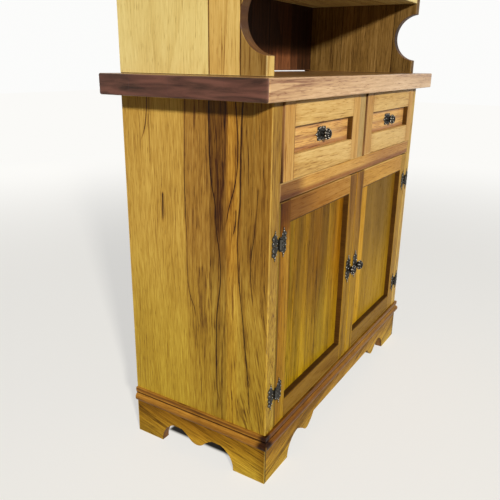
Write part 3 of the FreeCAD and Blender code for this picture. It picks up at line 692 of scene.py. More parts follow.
        ring = (layer(RINGS) * timber.rings).fraction()
        late = (ring ** 3.0) * ring.smooth(1.0, 0.94)
        line = layer(LINES).smooth(0.56, 0.68)
        fibre, cloud = layer(FIBRES), layer(CLOUDS)
        pores = layer(PORES).smooth(0.60, 0.72)
        veins, joints = self._veins(wander, cloud), self._joint_lines()
        figure = (late * timber.figure + (layer(BANDS) - 0.5) * timber.bands
                  + (layer(STREAKS) - 0.5) * timber.streaks + line * timber.lines)
        flecks = (layer(FLECKS) - 0.5) * timber.flecks
        if board.calm:
            lively = self.across.smooth(board.calm[0] * MM, board.calm[1] * MM) * 0.6 + 0.4
            figure, flecks = figure * lively, flecks * lively
        shade = (self.BASE + figure + flecks + (fibre - 0.5) * timber.fibre
                 + pores * timber.pores + (cloud - 0.5) * self.CLOUDINESS)
        shade = shade + veins * self.VEIN_SHARE + joints * self.JOINT_SHARE
        nodes.principled(Base_Color=self._tinted(shade, wander, cloud), Coat_Weight=timber.coat,
                         Coat_Roughness=0.22, Specular_IOR_Level=timber.sheen,
                         Roughness=timber.roughness + pores * 0.2 + late * 0.08)
        relief = (fibre - 0.5) * -0.3 - line * 0.3 - pores * 0.5 - joints - veins * 0.1
        nodes.bump(relief, 0.5, 0.0004)

    def _tinted(self, shade: Value, wander: Value, cloud: Value) -> Socket:
        """Colour the timber.

        Args:
            shade: how dark the figure is, from nought to one.
            wander: slow noise about nought that bends what runs along the board.
            cloud: soft noise from nought to one.

        Returns:
            The colour with its stains, painted shade and painted bounce light, its pale edges,
            which are partly painted highlights, and its end grain.
        """
        nodes, timber, board = self.nodes, self.timber, self.board
        tint = nodes.ramp(shade, [(0.0, colour(timber.pale)), (0.36, colour(timber.middle)),
                                  (0.70, colour(timber.deep)), (1.0, colour(timber.vein))])
        if board.zones:
            rise = board.zone_rise
            strength = (self.along.smooth(rise[0] * MM, rise[1] * MM) * 0.5 + 0.5
                        if rise else 1.0)
            tint = self._stained(tint, self.across + wander * 0.006, board.zones, strength)
        if board.crosswise:
            tint = self._stained(tint, self.level, board.crosswise, 1.0)
        if board.stretches:
            rise = board.stretch_rise
            strength = self.across.smooth(rise[0] * MM, rise[1] * MM) if rise else 1.0
            tint = self._stained(tint, self.along + wander * 0.05, board.stretches, strength)
        if board.joints or board.tones[0] != 1.0:
            tint = nodes.mix(1.0, tint, nodes.vector(self.tone, self.tone, self.tone), "MULTIPLY")
        if board.hollow:
            # the cut-out's wall is darkened, partly as end grain and partly as painted shade
            tint = nodes.mix(self._cut_wall_shade() * self.WALL_SHARE, tint, colour(timber.vein))
        # pale edges: partly thinned finish, partly painted highlights on the arrises
        worn_and_highlit = self.wear * cloud.smooth(0.35, 0.6) * self.WEAR_SHARE
        tint = nodes.mix(worn_and_highlit, tint, colour(timber.pale))
        if board.grain is not Grain.ROUND_THE_CORNER:
            ends = nodes.vector(self.depth, self.across * 0.12, self.along * 0.12)
            figure = nodes.ramp(nodes.noise(ends, 75.0, 4.0, 0.6),
                                [(0.34, colour(timber.end_dark)), (0.68, colour(timber.end_pale))])
            tint = nodes.mix(self._end_grain() * self.END_SHARE, tint, figure)
        return tint


# Finishes of the other materials ---

@dataclass(frozen=True)
class AntiqueMetal:
    """Cast fittings: dark in the hollows and polished bright on the high places,
    with painted glints scattered in a bright mottle.
    """

    hollow: str = "040404"
    body: str = "26231f"
    rubbed: str = "b8b4a8"
    roughness: float = 0.30
    rubbing: float = 0.12
    # the share of painted glints: bright specks of the polished colour in a mottle
    glints: float = 0.3

    def material(self, name: str) -> Material:
        """Build the finish.

        Args:
            name: the material's name.

        Returns:
            The material.
        """
        nodes = Finish(name)
        x, y, z = nodes.position()
        place = nodes.vector(x, y, z)
        mottle = nodes.noise(place, 420.0, 3.0)
        patina = nodes.noise(place, 90.0, 2.0)
        edge = nodes.value("ShaderNodeNewGeometry", output="Pointiness").smooth(0.5, 0.60)
        # polished edges, plus painted glints in a bright mottle
        worn_and_highlit = edge * self.rubbing + mottle.smooth(0.62, 0.70) * self.glints
        tint = nodes.mix(patina, colour(self.hollow), colour(self.body))
        tint = nodes.mix(worn_and_highlit, tint, colour(self.rubbed))
        nodes.principled(Base_Color=tint, Metallic=0.85, Specular_IOR_Level=0.15, Coat_Weight=0.25,
                         Specular_Tint=(0.15, 0.15, 0.15, 1.0),
                         Roughness=self.roughness - worn_and_highlit * 0.12 + mottle * 0.1)
        nodes.bump(mottle, 0.8, 0.0004)
        return nodes.material


@dataclass(frozen=True)
class StudioFloor:
    """A plain pale floor that fades to white far from the dresser.

    It is dull for the light that it throws back on the dresser, and beneath the dresser its colour
    is a dark painted shade, so that shadows stay deep. Lift is how much of its white is its own.
    Beneath is half the width and half the depth of what stands on it, and near, fade and beneath
    are in metres.
    """

    tint: str = "f2efe6"
    clouded: str = "f4f2ec"
    white: str = "fbfaf7"
    dull: str = "857f70"
    # painted shade: the floor's colour beneath the dresser
    under: str = "16120e"
    lift: float = 0.62
    beneath: tuple[float, float] = (0.455, 0.178)
    near: tuple[float, float] = (-0.046, -0.034)
    fade: tuple[float, float] = (1.2, 4.5)

    def material(self, name: str) -> Material:
        """Build the finish.

        Args:
            name: the material's name.

        Returns:
            The material.
        """
        nodes = Finish(name)
        x, y, z = nodes.position()
        seen = nodes.seen_directly()
        cloud = nodes.noise(nodes.vector(x, y, z), 1.5, 2.0)
        pale = nodes.mix(cloud, colour(self.tint), colour(self.clouded))
        wide, deep = self.beneath
        # beside is nought beneath the dresser, where the floor shows its painted shade and none of
        # its own white
        beside = (abs(x) - wide).largest(abs(y) - deep).smooth(*self.near)
        pale = nodes.mix(beside, colour(self.under), pale)
        nodes.principled(Base_Color=nodes.mix(seen, colour(self.dull), pale), Roughness=0.8)
        far = ((x * x + y * y) ** 0.5).smooth(*self.fade)
        white = beside * (far * (1 - self.lift) + self.lift)
        light = {"Color": colour(self.white), "Strength": 1.0}
        glow = nodes.node("ShaderNodeEmission", sockets=light)
        nodes.show(nodes.blend(seen * white, nodes.shader, glow))
        return nodes.material


# The timbers of this dresser
FRONT = Timber("e6c886", "cba45e", "94692f", "4a2e16", rings=5.0, figure=0.2, bands=0.3,
               streaks=0.35, lines=0.2)
RAIL = replace(FRONT, pale="eacc86", middle="cfa85c", deep="976c2e", sheen=0.04)
STREAKED = replace(FRONT, pale="ead090", middle="d2aa6c", deep="906444", vein="4a2c1c", bands=0.5,
                   streaks=0.6, lines=0.4)
DOOR = Timber("c0983c", "967026", "5a3e16", "2b190a", figure=0.2, bands=0.5, streaks=0.5,
              lines=0.24, sheen=0.05)
# the right hutch side's timber: darker, partly as painted shade
SHADED_DIM = replace(DOOR, pale="ac864c", middle="84622f", deep="50361a", vein="2a180c", lines=0.3)
PANEL = Timber("ecce42", "ba9c2a", "6c541a", "2a1a08", rings=5.0, figure=0.14, bands=0.7,
               lines=0.24, streaks=0.7, flecks=0.2, sheen=0.04)
CALM_PANEL = replace(PANEL, pale="ecc44c", middle="cca434", deep="846022", figure=0.1, bands=0.25,
                     streaks=0.6, lines=0.2)
SIDE = Timber("d8b862", "b38e40", "6c4824", "2c190c", rings=5.0, figure=0.14, bands=0.4,
              streaks=0.6, lines=0.36, flecks=0.5, fibre=0.8)
HUTCH = Timber("eddc98", "d2b870", "93703a", "452a14", rings=4.0, figure=0.3, bands=0.3,
               streaks=0.5, lines=0.3)
TOP = Timber("e6c69c", "c49e72", "8a6042", "3d2417", figure=0.3, bands=0.6, streaks=0.5,
             roughness=0.3, flecks=0.14, coat=0.15, end_dark="20100c", end_pale="684238")
PLINTH = Timber("debc52", "ac8c36", "644a1a", "22150a", rings=6.0, figure=0.3, bands=0.6,
                streaks=0.7, lines=0.36, flecks=0.4, sheen=0.05)
MOULDING = Timber("d8a850", "a47a32", "604218", "1c1008", rings=5.0, figure=0.25, roughness=0.3,
                  coat=0.05, sheen=0.06)
# the lining beads' timber: its dark colour is partly the wood's own and partly painted shade in
# the recesses
DARK = Timber("5c3c14", "422a0e", "301c09", "180b05", rings=5.0, figure=0.1, bands=0.2,
              streaks=0.2, lines=0.1, sheen=0.05)
# the back boards' timber: dark, partly as painted shade
SHADED_BACK = Timber("8e5a36", "593621", "392417", "1c120a", figure=0.3, roughness=0.5)
INNER = Timber("cfa96c", "b0874e", "7c5a30", "402a16", rings=4.0, roughness=0.55)

# The left side's two veins with the dark heart between them, and its other veins and shades
FORK = Vein(trail("-69 860, -69 760, -65 700, -59 660, -58 610, -55 545"), 7.0, 0.32)
RIGHT_OF_HEART = Vein(trail("-29 860, -30 760, -34 690, -43 645, -46 590, -55 525, -56 480, "
                            "-46 392, -45 345, -44 270, -46 205, -58 158, -60 92"), 2.6, 0.95)
LEFT_VEINS = (
    RIGHT_OF_HEART, FORK,
    Vein(trail("-44 740, -50 700, -49 640, -52 590, -54 540"), 5.0, 0.2),
    Vein(trail("-62 735, -61 700, -58 660, -55 610, -54 570"), 9.0, 0.2),
    Vein(trail("-84 700, -80 650, -78 560, -82 470"), 20.0, 0.16),
    Vein(trail("-2 500, -5 420, -8 370, -12 300"), 24.0, 0.22),
    Vein(trail("-106 860, -102 790, -101 720, -100 660, -96 610, -95 550"), 2.2, -0.45),
    Vein(trail("-92 860, -97 795, -97 730, -90 685, -78 645, -69 605, -60 580"), 2.6, 0.9),
    Vein(trail("-110 860, -106 790, -105 720, -104 660, -100 610, -99 550, -101 500, -108 440, "
               "-115 380, -121 320, -127 265, -132 200, -135 92"), 2.8, 1.2),
    Vein(trail("-146 690, -142 630, -137 580, -131 545, -132 495, -137 440, -143 395"), 2.0, 0.8),
    Vein(trail("29 860, 33 770, 35 700, 35 645, 32 560, 32 500, 27 430, 13 390, 11 320, 10 240"),
         2.0, 0.65),
    Vein(trail("96 652, 97 620, 98 585"), 3.0, 0.9),
    Vein(trail("131 860, 134 818, 142 782, 153 760"), 2.8, 0.9),
    Vein(trail("125 860, 128 770, 126 690"), 1.4, 0.6),
    Vein(trail("-94 640, -92 605, -85 580"), 2.6, 0.9))
# yellower and a little darker towards the bottom: painted yellow bounce light
LEFT_BOUNCE_STRETCHES = stops("92 eef0a0, 330 f4f4c0, 560 fffae8, 760 fff8f0, 900 fff8f0")
LEFT_ZONES = stops("-180 ccc4ac, -174.5 ccc4ac, -172.5 c4b4a0, -112 c4b8a8, -104 ccbca8, "
                   "-97 ecdcc0, -76 f0dcbc, -68 a8948c, -34 ac9c90, -27 d8ccc8, 30 dcd0d0, "
                   "38 ffffff, 205 ffffff")
RIGHT_VEINS = (
    Vein(trail("-120 860, -112 700, -104 560, -110 420, -96 250, -92 92"), 2.4, 0.9),
    Vein(trail("10 860, 2 740, -12 600, -8 470, -24 300, -30 92"), 3.0),
    Vein(trail("120 640, 128 520, 124 380"), 2.0, 0.7))


# Mesh helpers ---

def place_object(name: str, data: bpy.types.ID) -> bpy.types.Object:
    """Add an object to the scene.

    Args:
        name: its name.
        data: its mesh, lamp or camera.

    Returns:
        The new object.
    """
    made = bpy.data.objects.new(name, data)
    bpy.context.scene.collection.objects.link(made)
    return made


def finish_piece(mesh: Mesh, name: str, material: Material, body: str,
                 replaces: Iterable[str] = (), smooth: bool = False) -> None:
    """Turn a bmesh into a piece that rides on a body.

    Args:
        mesh: the shape, already in its place.
        name: the piece's name.
        material: its finish.
        body: the body that it moves with.
        replaces: the nodes that it stands for.
        smooth: whether its faces are shaded smooth.
    """
    bmesh.ops.recalc_face_normals(mesh, faces=mesh.faces)
    data = bpy.data.meshes.new(name)
    mesh.to_mesh(data)
    mesh.free()
    for polygon in data.polygons:
        polygon.use_smooth = smooth
    data.materials.append(material)
    piece = place_object(name, data)
    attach(piece, body)
    for node in replaces:
        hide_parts(node)
    LOG.info("piece %s on %s: %d faces", name, body, len(data.polygons))


def block(mesh: Mesh, low: Vector, high: Vector, bevel: float) -> None:
    """Add a box with rounded edges.

    Args:
        mesh: where to add it.
        low: its lowest corner.
        high: its highest corner.
        bevel: the width of its rounded edges.
    """
    made = bmesh.ops.create_cube(mesh, size=1.0)
    bmesh.ops.scale(mesh, vec=high - low, verts=made["verts"])
    bmesh.ops.translate(mesh, vec=(low + high) / 2, verts=made["verts"])
    edges = {edge for vertex in made["verts"] for edge in vertex.link_edges}
    bmesh.ops.bevel(mesh, geom=list(edges), offset=bevel, segments=2, profile=0.5, affect="EDGES",
                    material=-1)


def front_point(box: Box, depth: float) -> Vector:
    """The middle of a box as seen from the front, at a depth."""
    low, high = box
    return Vector(((low.x + high.x) / 2, depth, (low.z + high.z) / 2))


def lathe(mesh: Mesh, profile: list[tuple[float, float]], centre: Vector,
          axis: Vector, steps: int) -> None:
    """Turn a profile about an axis.

    Args:
        mesh: where to add the turned shape.
        profile: (radius, distance along the axis) from one end to the other, in millimetres.
        centre: where the profile's distances start.
        axis: the direction that they are counted in.
        steps: divisions of the full turn.
    """
    aside = axis.orthogonal().normalized()
    line = [mesh.verts.new(centre + aside * radius * MM + axis * along * MM)
            for radius, along in profile]
    edges = [mesh.edges.new(pair) for pair in zip(line, line[1:])]
    bmesh.ops.spin(mesh, geom=line + edges, cent=centre, axis=axis, angle=math.tau, steps=steps,
                   use_merge=True, use_duplicate=False)
    bmesh.ops.remove_doubles(mesh, verts=mesh.verts, dist=1e-6)


def arc(centre: tuple[float, float], radius: float, start: float, end: float,
        steps: int) -> list[tuple[float, float]]:
    """Lay points on an arc of a profile.

    Args:
        centre: the arc's centre.
        radius: its radius.
        start: where it starts, in degrees from the way the radii are counted in.
        end: where it ends.
        steps: how many parts it is divided into.

    Returns:
        Its points.
    """
    angles = [math.radians(start + (end - start) * index / steps) for index in range(steps + 1)]
    return [(centre[0] + radius * math.cos(angle), centre[1] + radius * math.sin(angle))
            for angle in angles]


def join(mesh: Mesh, part: Mesh) -> None:
    """Add one mesh to another and free it.

    Args:
        mesh: where to add it.
        part: the mesh to add.
    """
    data = bpy.data.meshes.new("part")
    part.to_mesh(data)
    part.free()
    mesh.from_mesh(data)
    bpy.data.meshes.remove(data)


# Fittings ---

OUT = Vector((0, -1, 0))


@dataclass
class Screw:
    """A small slotted round-head screw; lengths in millimetres."""

    radius: float = 2.3
    height: float = 0.8
    slot_width: float = 0.6

    def build(self, mesh: Mesh, place: Vector, outwards: Vector, turn: float) -> None:
        """Add the screw's head.

        Args:
            mesh: where to add it.
            place: the middle of its underside.
            outwards: the way it faces.
            turn: the angle of its slot, in degrees.
        """
        head = bmesh.new()
        profile = [(0.0, 0.0), (self.radius, 0.0), (self.radius, 0.25 * self.height),
                   (0.8 * self.radius, 0.75 * self.height), (0.4 * self.radius, self.height),
                   (0.0, self.height)]
        lathe(head, profile, place, outwards, 18)
        aside = outwards.orthogonal().normalized()
        across = outwards.cross(Matrix.Rotation(math.radians(turn), 3, outwards) @ aside)
        for cut in (0.5, 0.6, -0.5, -0.6):
            whole = head.verts[:] + head.edges[:] + head.faces[:]
            point = place + across * cut * self.slot_width * MM
            bmesh.ops.bisect_plane(head, geom=whole, plane_co=point, plane_no=across)
        for vertex in head.verts:
            offset = vertex.co - place
            in_slot = abs(offset.dot(across)) < 0.55 * self.slot_width * MM
            if in_slot and offset.dot(outwards) > 0.5 * self.height * MM:
                vertex.co -= outwards * 0.45 * self.height * MM
        join(mesh, head)


@dataclass
class Knob:
    """A turned ball knob on a beaded neck; lengths in millimetres from its plate.

    Rings are (share of the ball's radius, share of its reach, radius of a petal).
    """

    RINGS = ((0.95, 0.0, 2.3), (0.72, 0.62, 1.5))

    radius: float = 12.0
    length: float = 23.0
    collar: float = 7.0
    neck: float = 4.4
    squash: float = 0.74
    petals: int = 0

    def build(self, mesh: Mesh, beads: Mesh, foot: Vector) -> None:
        """Add the knob, standing out towards the front from its foot.

        Args:
            mesh: where to add the turned knob.
            beads: where to add the petals around its rim.
            foot: the middle of its underside.
        """
        reach = self.radius * self.squash
        middle = self.length - reach
        profile = [(0.0, 0.0), (self.collar, 0.0)]
        profile += arc((self.collar - 0.9, 1.1), 0.9, -40, 80, 4)
        profile += [(self.neck + 1.4, 2.4)]
        profile += arc((self.neck + 0.5, 3.3), 0.8, -60, 60, 4)
        profile += [(self.neck, 4.6)]
        ball = [(u, middle + (v - middle) * self.squash)
                for u, v in arc((0.0, middle), self.radius, -66, 90, 22)]
        profile += ball[:9] + [(ball[9][0] - 0.35, ball[9][1])] + ball[10:]
        profile[-1] = (0.0, profile[-1][1])
        lathe(mesh, profile, foot, OUT, 40)
        for index in range(self.petals):
            angle = math.tau * (index + 0.5) / self.petals
            away = Vector((math.cos(angle), 0, math.sin(angle)))
            for ring, along, size in self.RINGS:
                made = bmesh.ops.create_uvsphere(beads, u_segments=12, v_segments=8,
                                                 radius=size * MM)
                place = foot + (away * ring * self.radius + OUT * (middle + along * reach)) * MM
                bmesh.ops.translate(beads, vec=place, verts=made["verts"])


@dataclass(frozen=True)
class Relief:
    """Raised casting on a plate: bosses and scrolls; lengths in millimetres."""

    bead: float = 0.75
    steps: int = 10

    @staticmethod
    def boss(mesh: Mesh, place: Vector, radius: float, height: float) -> None:
        """Add a low round boss that stands out towards the front.

        Args:
            mesh: where to add it.
            place: its middle on the plate's face.
            radius: its radius.
            height: how far it stands out.
        """
        made = bmesh.ops.create_uvsphere(mesh, u_segments=14, v_segments=8, radius=radius * MM)
        bmesh.ops.scale(mesh, vec=(1.0, height / radius, 1.0), verts=made["verts"])
        bmesh.ops.translate(mesh, vec=place, verts=made["verts"])

    def scroll(self, mesh: Mesh, centre: Vector, radius: float, start: float, end: float) -> None:
        """Add a round bead along an arc in the plate's plane.

        Args:
            mesh: where to add it.
            centre: the arc's centre on the plate's face.
            radius: the arc's radius.
            start: where it starts, in degrees from +X towards +Z.
            end: where it ends.
        """
        angle = math.radians(start)
        away = Vector((math.cos(angle), 0, math.sin(angle)))
        made = bmesh.ops.create_circle(mesh, cap_ends=True, segments=8, radius=self.bead * MM)
        turned = Matrix((away, OUT, away.cross(OUT))).transposed()
        bmesh.ops.rotate(mesh, verts=made["verts"], cent=(0, 0, 0), matrix=turned)
        bmesh.ops.translate(mesh, vec=centre + away * radius * MM, verts=made["verts"])
        faces = list({face for vertex in made["verts"] for face in vertex.link_faces})
        bmesh.ops.spin(mesh, geom=faces, cent=centre, axis=OUT, angle=math.radians(end - start),
                       steps=self.steps)


@dataclass
class KnobPlate:
    """Relief and screws on a knob's plate; lengths in millimetres.

    Bosses are (along, across, radius, height): places in half lengths and half widths from the
    middle towards an end and a side, and the radius in widths.
    """

    TIP_BOSSES = ((0.80, 0.0, 0.07, 1.6), (0.93, 0.0, 0.05, 1.2))
    SIDE_BOSSES = ((0.21, 0.84, 0.075, 1.6), (0.44, 0.74, 0.05, 1.2), (0.66, 0.48, 0.055, 1.4))

    length: float
    width: float
    upright: bool
    relief: Relief = Relief()

    def build(self, mesh: Mesh, beads: Mesh, centre: Vector, turn: float) -> None:
        """Add what stands on the plate's face.

        Args:
            mesh: where to add the scrolls and screws.
            beads: where to add the bright bosses.
            centre: the middle of the plate's face.
            turn: the angle of the screws' slots, in degrees.
        """
        def place(along: float, across: float) -> Vector:
            """A point of the face, in half lengths and half widths from its middle."""
            u, v = along * self.length / 2 * MM, across * self.width / 2 * MM
            return centre + (Vector((v, 0, u)) if self.upright else Vector((u, 0, v)))

        relief = self.relief
        tilt = 90.0 if self.upright else 0.0
        relief.scroll(mesh, centre, 0.36 * self.width, 0, 359.9)
        for end in (-1, 1):
            head = tilt + (0 if end > 0 else 180)
            relief.scroll(mesh, place(0.44 * end, 0), 0.27 * self.width, head - 125, head + 125)
            Screw(1.8, 1.1).build(mesh, place(0.50 * end, 0), OUT, turn + 50 * end)
            for side, bosses in ((0, self.TIP_BOSSES), (-1, self.SIDE_BOSSES),
                                 (1, self.SIDE_BOSSES)):
                for along, across, radius, height in bosses:
                    relief.boss(beads, place(along * end, across * side), radius * self.width,
                                height)


@dataclass
class HingeLeaf:
    """Relief and screws on a hinge leaf; lengths in millimetres from the pin's axis.

    Bosses are (out, up, radius, height): places in widths from the pin and in half heights from
    the middle. Scrolls are (out, up, radius, half of the angle that they turn through).
    """

    BOSSES = ((0.60, 0.86, 1.3, 1.2), (0.60, 0.71, 1.8, 1.4), (0.40, 0.55, 1.5, 1.2),
              (0.84, 0.50, 1.5, 1.2), (0.88, 0.20, 1.6, 1.4), (0.36, 0.12, 1.2, 1.2))
    SCROLLS = ((0.66, 0.36, 4.6, 140), (0.30, 0.26, 2.6, 100))

    width: float = 30.0
    height: float = 70.0
    relief: Relief = Relief()

    def build(self, mesh: Mesh, beads: Mesh, pin: Vector, side: int) -> None:
        """Add what stands on the leaf's face.

        Args:
            mesh: where to add the scrolls and screws.
            beads: where to add the bright bosses.
            pin: the point of the leaf's face before which the pin's middle stands.
            side: 1 where the leaf spreads to +X, -1 where it spreads to -X.
        """
        def place(out: float, up: float) -> Vector:
            """A point of the face, in widths from the pin and half heights from the middle."""
            return pin + Vector((side * out * self.width * MM, 0, up * self.height / 2 * MM))

        relief = self.relief
        outwards = 0.0 if side > 0 else 180.0
        for end in (-1, 1):
            for out, up, radius, half in self.SCROLLS:
                relief.scroll(mesh, place(out, up * end), radius, outwards - half,
                              outwards + half)
            for out, up, radius, height in self.BOSSES:
                relief.boss(beads, place(out, up * end), radius, height)
            foot = place(0.66, 0.36 * end) - OUT * 0.3 * MM
            Screw(2.5, 0.9).build(mesh, foot, OUT, 35 + 60 * end)
        relief.scroll(mesh, place(0.56, 0), 3.6, outwards - 120, outwards + 120)


# Stage ---

@dataclass
class Studio:
    """Floor, surround, lamps and camera, in metres, watts and radians, with the lens in mm."""

    LIGHT, WHITE = (1.0, 0.97, 0.92, 1.0), (0.97, 0.97, 0.96, 1.0)

    eye: Point = (-1.3848, -0.7020, 0.9239)
    yaw: float = 1.0198
    pitch: float = 0.3206
    roll: float = 0.0145
    lens: float = 40.59
    middle: Point = (0.0, 0.0, 0.7)
    key_place: Point = (-5.59, -6.0, 3.43)
    key_size: float = 0.55
    key_power: float = 1000.0
    back_place: Point = (2.4, 4.4, 0.5)
    back_size: float = 0.9
    back_power: float = 40.0
    sky: float = 0.07

    def build(self) -> None:
        """Set the whole stage."""
        bpy.context.scene.view_settings.view_transform = "Standard"
        self._floor()
        self._sky()
        self._lamp("key", self.key_place, self.key_size, self.key_power, True)
        self._lamp("back_fill", self.back_place, self.back_size, self.back_power, False)
        self._camera()

    def _floor(self) -> None:
        """A wide flat floor."""
        mesh = bmesh.new()
        bmesh.ops.create_grid(mesh, x_segments=2, y_segments=2, size=14.0)
        data = bpy.data.meshes.new("floor")
        mesh.to_mesh(data)
        mesh.free()
        data.materials.append(StudioFloor().material("pale_floor"))
        floor = place_object("floor", data)

    def _sky(self) -> None:
        """An even, slightly warm surround; white where the camera sees it."""
        world = bpy.data.worlds.new("surround")
        bpy.context.scene.world = world
        nodes = Nodes(world)
        light, white = (
            nodes.node("ShaderNodeBackground", sockets={"Color": tint, "Strength": strength})
            for tint, strength in ((self.LIGHT, self.sky), (self.WHITE, 1.0)))
        output = nodes.node("ShaderNodeOutputWorld")
        nodes.feed(output.inputs["Surface"], nodes.blend(nodes.seen_directly(), light, white))

    def _lamp(self, name: str, place: Point, size: float, power: float, shadows: bool) -> None:
        """Add a square soft lamp that faces the dresser's middle.

        Args:
            name: its name.
            place: where it stands.
            size: how wide it is.
            power: how strong it is.
            shadows: whether it casts shadows.
        """
        lamp = bpy.data.lights.new(name, "AREA")
        lamp.shape = "SQUARE"
        lamp.size = size
        lamp.energy = power
        lamp.color = self.LIGHT[:3]
        lamp.use_shadow = shadows
        holder = place_object(name, lamp)
        holder.location = place
        aim = Vector(self.middle) - Vector(place)
        holder.rotation_euler = aim.to_track_quat("-Z", "Y").to_euler()

    def _camera(self) -> None:
        """Place the camera by its turn, tilt and roll."""
        ahead = Vector((math.sin(self.yaw) * math.cos(self.pitch),
                        math.cos(self.yaw) * math.cos(self.pitch), -math.sin(self.pitch)))
        level = Vector((math.cos(self.yaw), -math.sin(self.yaw), 0.0))
        upright = level.cross(ahead)
        across = level * math.cos(self.roll) + upright * math.sin(self.roll)
        above = upright * math.cos(self.roll) - level * math.sin(self.roll)
        turned = Matrix((across, above, -ahead)).transposed().to_4x4()
        camera = bpy.data.cameras.new("camera")
        camera.lens = self.lens
        camera.sensor_width = 36.0
        camera.clip_start = 0.02
        holder = place_object("camera", camera)
        holder.matrix_world = Matrix.Translation(self.eye) @ turned
        bpy.context.scene.camera = holder


# The dresser ---

class Side(Enum):
    """The two sides of the dresser, as signs of X."""

    LEFT = -1
    RIGHT = 1

    @property
    def word(self) -> str:
        """How the side begins the names of its pieces."""
        return self.name.lower()


PANEL_ZONES = {
    Side.LEFT: stops("-378 e8b878, -345 e8c080, -335 a8a078, -312 e0cc98, -296 b0a078, "
                     "-272 c0ac80, -258 dcc890, -226 b49c78, -190 c8ac80, -165 907c60, "
                     "-138 a08c60, -128 d4c2b0, -112 dac8b8, -102 c8b090, -78 d4b494, "
                     "-60 c4a07c, -39 b08c68"),
    Side.RIGHT: stops("39 fff4e0, 119 fff4e0, 125 a8a4a4, 180 b4b0ac, 260 a8a4a0, 330 b4b0a8, "
                      "378 a89c90"),
}
RAIL_STRETCHES = {
    Side.LEFT: stops("-379 886c54, -300 967a60, -235 b69870, -150 c4a884, -38 ccb490"),
    Side.RIGHT: stops("38 d8c49c, 180 e8d4ac, 379 d4bc98"),
}
LINING_DEPTH = 0.8 * MM  # from the face of a frame to the front of its lining


@dataclass
class Dressing:
    """What every part of the dresser shares: its solids and its finishes."""

    nodes: dict[str, bpy.types.Object]
    metal: Material
    bright: Material
    lining: Material

    def cast(self, mesh: Mesh, name: str, body: str, bright: bool = False,
             replaces: Iterable[str] = ()) -> None:
        """Turn a bmesh into a piece of dark metal, or of bright metal whose colour is partly
        polish and partly painted glints.
        """
        metal = self.bright if bright else self.metal
        finish_piece(mesh, name, metal, body, replaces, True)

    def timber(self, node: str, timber: Timber, grain: Grain, seed: float,
               **cut: Places | Stops | tuple | float | None) -> None:
        """Give a kept solid its timber, with what else its Board says as keywords."""
        board = Board(grain, seed, **cut)
        self.paint(node, TimberShader(f"timber_{node}", timber, board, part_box(node)).material)

    def paint(self, node: str, material: Material) -> None:
        """Put a material in all slots of a kept solid.

        Args:
            node: the solid's name.
            material: its finish.
        """
        data = self.nodes[node].data
        for index in range(len(data.materials)):
            data.materials[index] = material
        if not data.materials:
            data.materials.append(material)
        LOG.info("solid %s keeps its shape", node)

    def line(self, mesh: Mesh, body: str) -> None:
        """Turn a bmesh into the lining of a body's recess, dark partly as painted shade."""
        finish_piece(mesh, f"{body}_lining", self.lining, body)

    def lining_beads(self, body: str, low: Vector, high: Vector, thickness: float) -> None:
        """Add the four mitred beads that line a recess before its panel, dark partly as painted
        shade.

        Args:
            body: the body it moves with.
            low: the recess's lowest corner, at its front.
            high: the recess's highest corner, at its panel.
            thickness: how far the beads stand in from the frame.
        """
        mesh = bmesh.new()
        made = bmesh.ops.create_grid(mesh, x_segments=1, y_segments=1, size=0.5)
        bmesh.ops.rotate(mesh, verts=made["verts"], matrix=Matrix.Rotation(math.pi / 2, 3, "X"))
        bmesh.ops.scale(mesh, vec=(high.x - low.x, 1, high.z - low.z), verts=mesh.verts)
        bmesh.ops.translate(mesh, vec=front_point((low, high), low.y), verts=mesh.verts)
        opening = mesh.faces[:]
        bmesh.ops.inset_individual(mesh, faces=opening, thickness=thickness, use_even_offset=True)
        inner = list(opening[0].verts)
        bmesh.ops.delete(mesh, geom=opening, context="FACES_ONLY")
        front = [edge for edge in mesh.edges if edge.verts[0] in inner and edge.verts[1] in inner]
        ring = bmesh.ops.extrude_face_region(mesh, geom=mesh.faces[:], use_keep_orig=True)
        moved = [item for item in ring["geom"] if isinstance(item, bmesh.types.BMVert)]
        bmesh.ops.translate(mesh, vec=(0, high.y - low.y, 0), verts=moved)
        bmesh.ops.bevel(mesh, geom=front, offset=thickness * 0.7, segments=3, profile=0.5,
                        affect="EDGES", material=-1)
        self.line(mesh, body)


